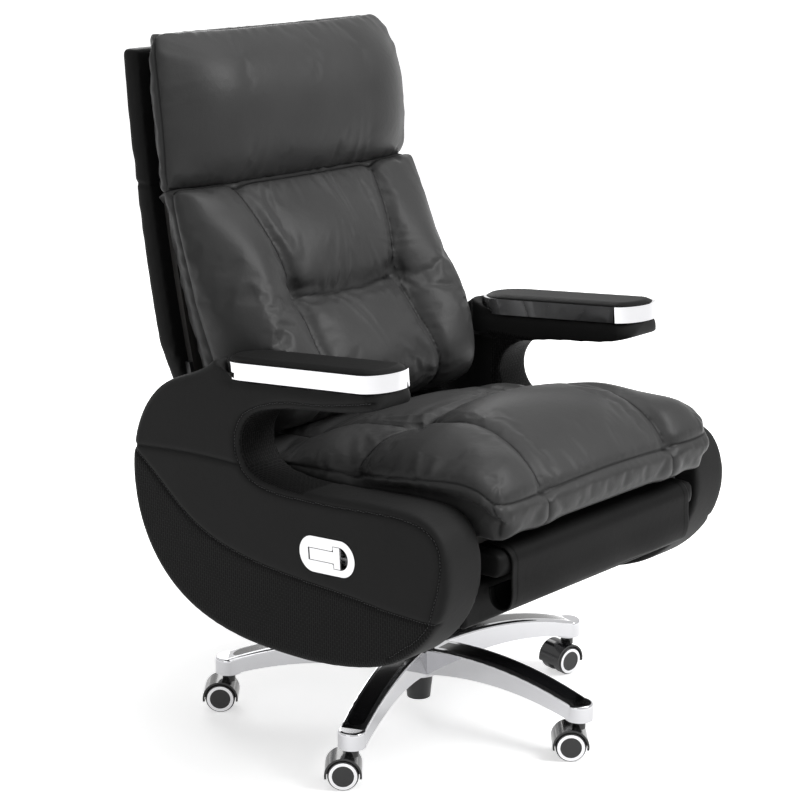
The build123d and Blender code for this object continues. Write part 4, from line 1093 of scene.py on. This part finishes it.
# %% Pressed zone and hard edges
def dash_chart(piece, weight):
    """Coordinates for the pressed dashes, seen square on, and the weight of the pressing."""
    mesh, co = piece.data, points_of(piece)
    corner, facing = np.empty(len(mesh.loops), int), np.empty(len(mesh.polygons) * 3)
    count = np.empty(len(mesh.polygons), int)
    mesh.loops.foreach_get("vertex_index", corner)
    mesh.polygon_normals.foreach_get("vector", facing)
    mesh.polygons.foreach_get("loop_total", count)
    axis = np.repeat(np.abs(facing.reshape(-1, 3)).argmax(axis=1), count)
    spot = co[corner]
    along = np.choose(axis, [spot[:, 2], spot[:, 2], spot[:, 0]])
    across = np.choose(axis, [spot[:, 1], spot[:, 0], spot[:, 1]])
    chart = mesh.uv_layers.new(name="dash_chart")
    chart.data.foreach_set("uv", np.stack([along, across], axis=1).ravel())
    pressed = mesh.attributes.new("pressed", "FLOAT", "POINT")
    pressed.data.foreach_set("value", np.ascontiguousarray(weight, np.float32))


def clear_of(piece, node, depth, reach):
    """Takes a skin in beside a hard piece, so that the hard edge shows."""
    hard = BVHTree.FromObject(nodes[node], bpy.context.evaluated_depsgraph_get())
    furthest = 4 * reach
    gap = np.array([(hard.find_nearest(Vector(p), furthest)[3] or furthest) for p in points_of(piece)])
    push(piece, -depth * bell(gap, reach))


print("pressed zone helpers ready")

# %% [markdown]
# ## Side panels
# The panels are firm, so they need no cloth run: an eased skin over the solid has the right form, and
# shallow seams and real stitches give it scale. The lower part and the inside of the notch are
# pressed with dashes, while the front rim is plain.

# %% Side panels
rim_depth = 0.006
front_rim_y = -0.26
notch_half = 0.075
notch_low, notch_high = 0.47, 0.612


def pressed_zone(co, face_x):
    """True where the leather is pressed: the lower part and the notch, but not the front rim."""
    low = co[:, 2] < np.interp(co[:, 1], *np.array(dash_limit).T)
    rim = np.abs(co[:, 0]) < face_x - rim_depth
    front_rim = rim & (co[:, 1] < front_rim_y)
    in_notch = rim & (np.abs(co[:, 1]) < notch_half) & (co[:, 2] > notch_low) & (co[:, 2] < notch_high)
    return (low & ~front_rim) | in_notch


for word, side in both_sides.items():
    panel = skin_from("side_panel_" + word, "side_panel_leather_" + word, voxel=0.005, rounds=3)
    finer(panel)
    clear_of(panel, "armrest_trim_" + word, depth=0.0026, reach=0.010)
    edge_seam = on_panel(panel, inset_run(panel_edge_run, panel_seam_inset), side)
    dash_seam = on_panel(panel, dash_limit, side)
    rear_seam = on_panel(panel, rear_seam_run, side)
    for line in (edge_seam, dash_seam, rear_seam):
        sew(panel, line, pull=0.0012, width=0.006, groove=0.0014)
    dash_chart(panel, pressed_zone(points_of(panel), np.abs(edge_seam[:, 0]).max()))
    finish_soft(panel, "side_panel_" + word, "seat", panel_leather)
    add_stitches("panel_stitches_" + word, panel, [edge_seam, dash_seam], "seat")
print("side panels: 2, with stitched edges")

# %% [markdown]
# ## Armrest pads
# The pads are thin foam under leather, held all round by the bright trim. A close skin is enough:
# their edges are eased so that they roll down into the trim.

# %% Armrest pads
for word in both_sides:
    pad = skin_from("armrest_pad_" + word, "armrest_leather_" + word, voxel=0.003, rounds=5)
    finish_soft(pad, "armrest_pad_" + word, "seat", band_leather)
print("armrest pads: 2")

# %% [markdown]
# ## Back shell
# The outside of the back is covered in plain leather with two seams across it. They run round the
# sides, so each is a loop at one height, and the skin is pulled in where a point is near that height.

# %% Back shell
shell_seams = (0.572, 0.900)
shell_pull = 0.0022
shell_seam_half = 0.004
shell = skin_from("back_shell", "back_shell_leather", voxel=0.006)
finer(shell)
shell_height = points_of(shell)[:, 2]
push(shell, -sum(shell_pull * bell(shell_height - seam, shell_seam_half) for seam in shell_seams))
finish_soft(shell, "back_shell", "back", band_leather)
print("back shell: seams at", shell_seams)

# %% [markdown]
# ## Footrest board and lower front panel
# The footrest is a padded board on slides under the seat, and a thin covered panel closes the seat
# below it. Both are mostly hidden, so an eased skin in the plain dark leather does for them.

# %% Footrest board and lower front panel
for node, name, body, voxel in (("footrest_board", "footrest_leather", "footrest", 0.005),
                                ("lower_front_panel", "front_panel_leather", "seat", 0.004)):
    panel = skin_from(node, name, voxel)
    finish_soft(panel, node, body, band_leather)
print("footrest board and lower front panel: 2")

# %% [markdown]
# ## Side view of the apron
# A leather apron is laid over the front of the footrest, falls in front of it and turns back under
# in a loose fold. It could be draped as cloth, but its fold is shaped by the chair and has to stay
# put. So it is drawn as a run in side view: over the top, round the nose, down, and round the fold.

# %% Side view of the apron
apron_low, apron_high = (np.array(corner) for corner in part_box("footrest_apron"))
apron_half = apron_high[0]
apron_face, apron_top, apron_hem = apron_low[1], apron_high[2], apron_low[2]
apron_skin = apron_top - 0.0005
nose = 0.0225
fold = 0.020
fold_end = 0.030
laid_back = 0.035
fall_heights = (0.385, 0.366)
belly = 0.001


def arc(y, z, radius, turns):
    """Points round a centre in side view; a turn of none is the top, and 90 the front."""
    angles = [math.radians(turn) for turn in turns]
    return [(y - radius * math.sin(a), z + radius * math.cos(a)) for a in angles]


apron_run = [(apron_high[1], apron_skin), (apron_face + laid_back, apron_skin)]
apron_run += arc(apron_face + nose, apron_skin - nose, nose, (15, 30, 45, 60, 75, 90))
apron_run += [(apron_face, fall_heights[0]), (apron_face - belly, fall_heights[1])]
apron_run.append((apron_face, apron_hem + fold))
apron_run += arc(apron_face + fold, apron_hem + fold, fold, (135, 180, 225, 270))
apron_run.append((apron_face + 2 * fold, apron_hem + fold_end))
apron_side = smooth_line([(0, y, z) for y, z in apron_run], step=0.004)

# %% [markdown]
# ## Apron
# The run is carried across the width as a net of squares. A slow wave and a quicker one, which grow
# as the leather hangs, make it slack, and a little thickness and two sewn hems make it a real sheet.

# %% Apron
apron_columns = 190
slow_wave, quick_wave = 0.0016, 0.0008
hem_inset, hem_half = 0.012, 0.0018
hang_from, hang_run = 0.03, 0.06
hide_thickness = 0.0022
rows = len(apron_side)
apron_z = apron_side[:, 2]
hang = np.clip((apron_top - hang_from - apron_z) / hang_run, 0, 1)
apron_points = []
for x in np.linspace(-apron_half, apron_half, apron_columns):
    slack = slow_wave * np.sin(19 * x + 0.6) * hang + quick_wave * np.sin(47 * x + 30 * apron_z) * hang
    apron_points.append(np.stack([np.full(rows, x), apron_side[:, 1] + slack, apron_z], axis=1))
apron_faces = [(c * rows + r, (c + 1) * rows + r, (c + 1) * rows + r + 1, c * rows + r + 1)
               for c in range(apron_columns - 1) for r in range(rows - 1)]
apron = bpy.data.objects.new("footrest_apron_leather", bpy.data.meshes.new("footrest_apron_leather"))
apron.data.from_pydata(np.vstack(apron_points).tolist(), [], apron_faces)
scene.collection.objects.link(apron)
thicken = apron.modifiers.new("thick", "SOLIDIFY")
thicken.thickness = hide_thickness
thicken.offset = -1
apply_all(apron)
shade_smooth(apron)
darken(apron, bell(np.abs(points_of(apron)[:, 0]) - apron_half + hem_inset, hem_half))
apron.data.materials.append(band_leather)
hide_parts("footrest_apron")
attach(apron, "footrest")
print("apron:", len(apron.data.vertices), "points")
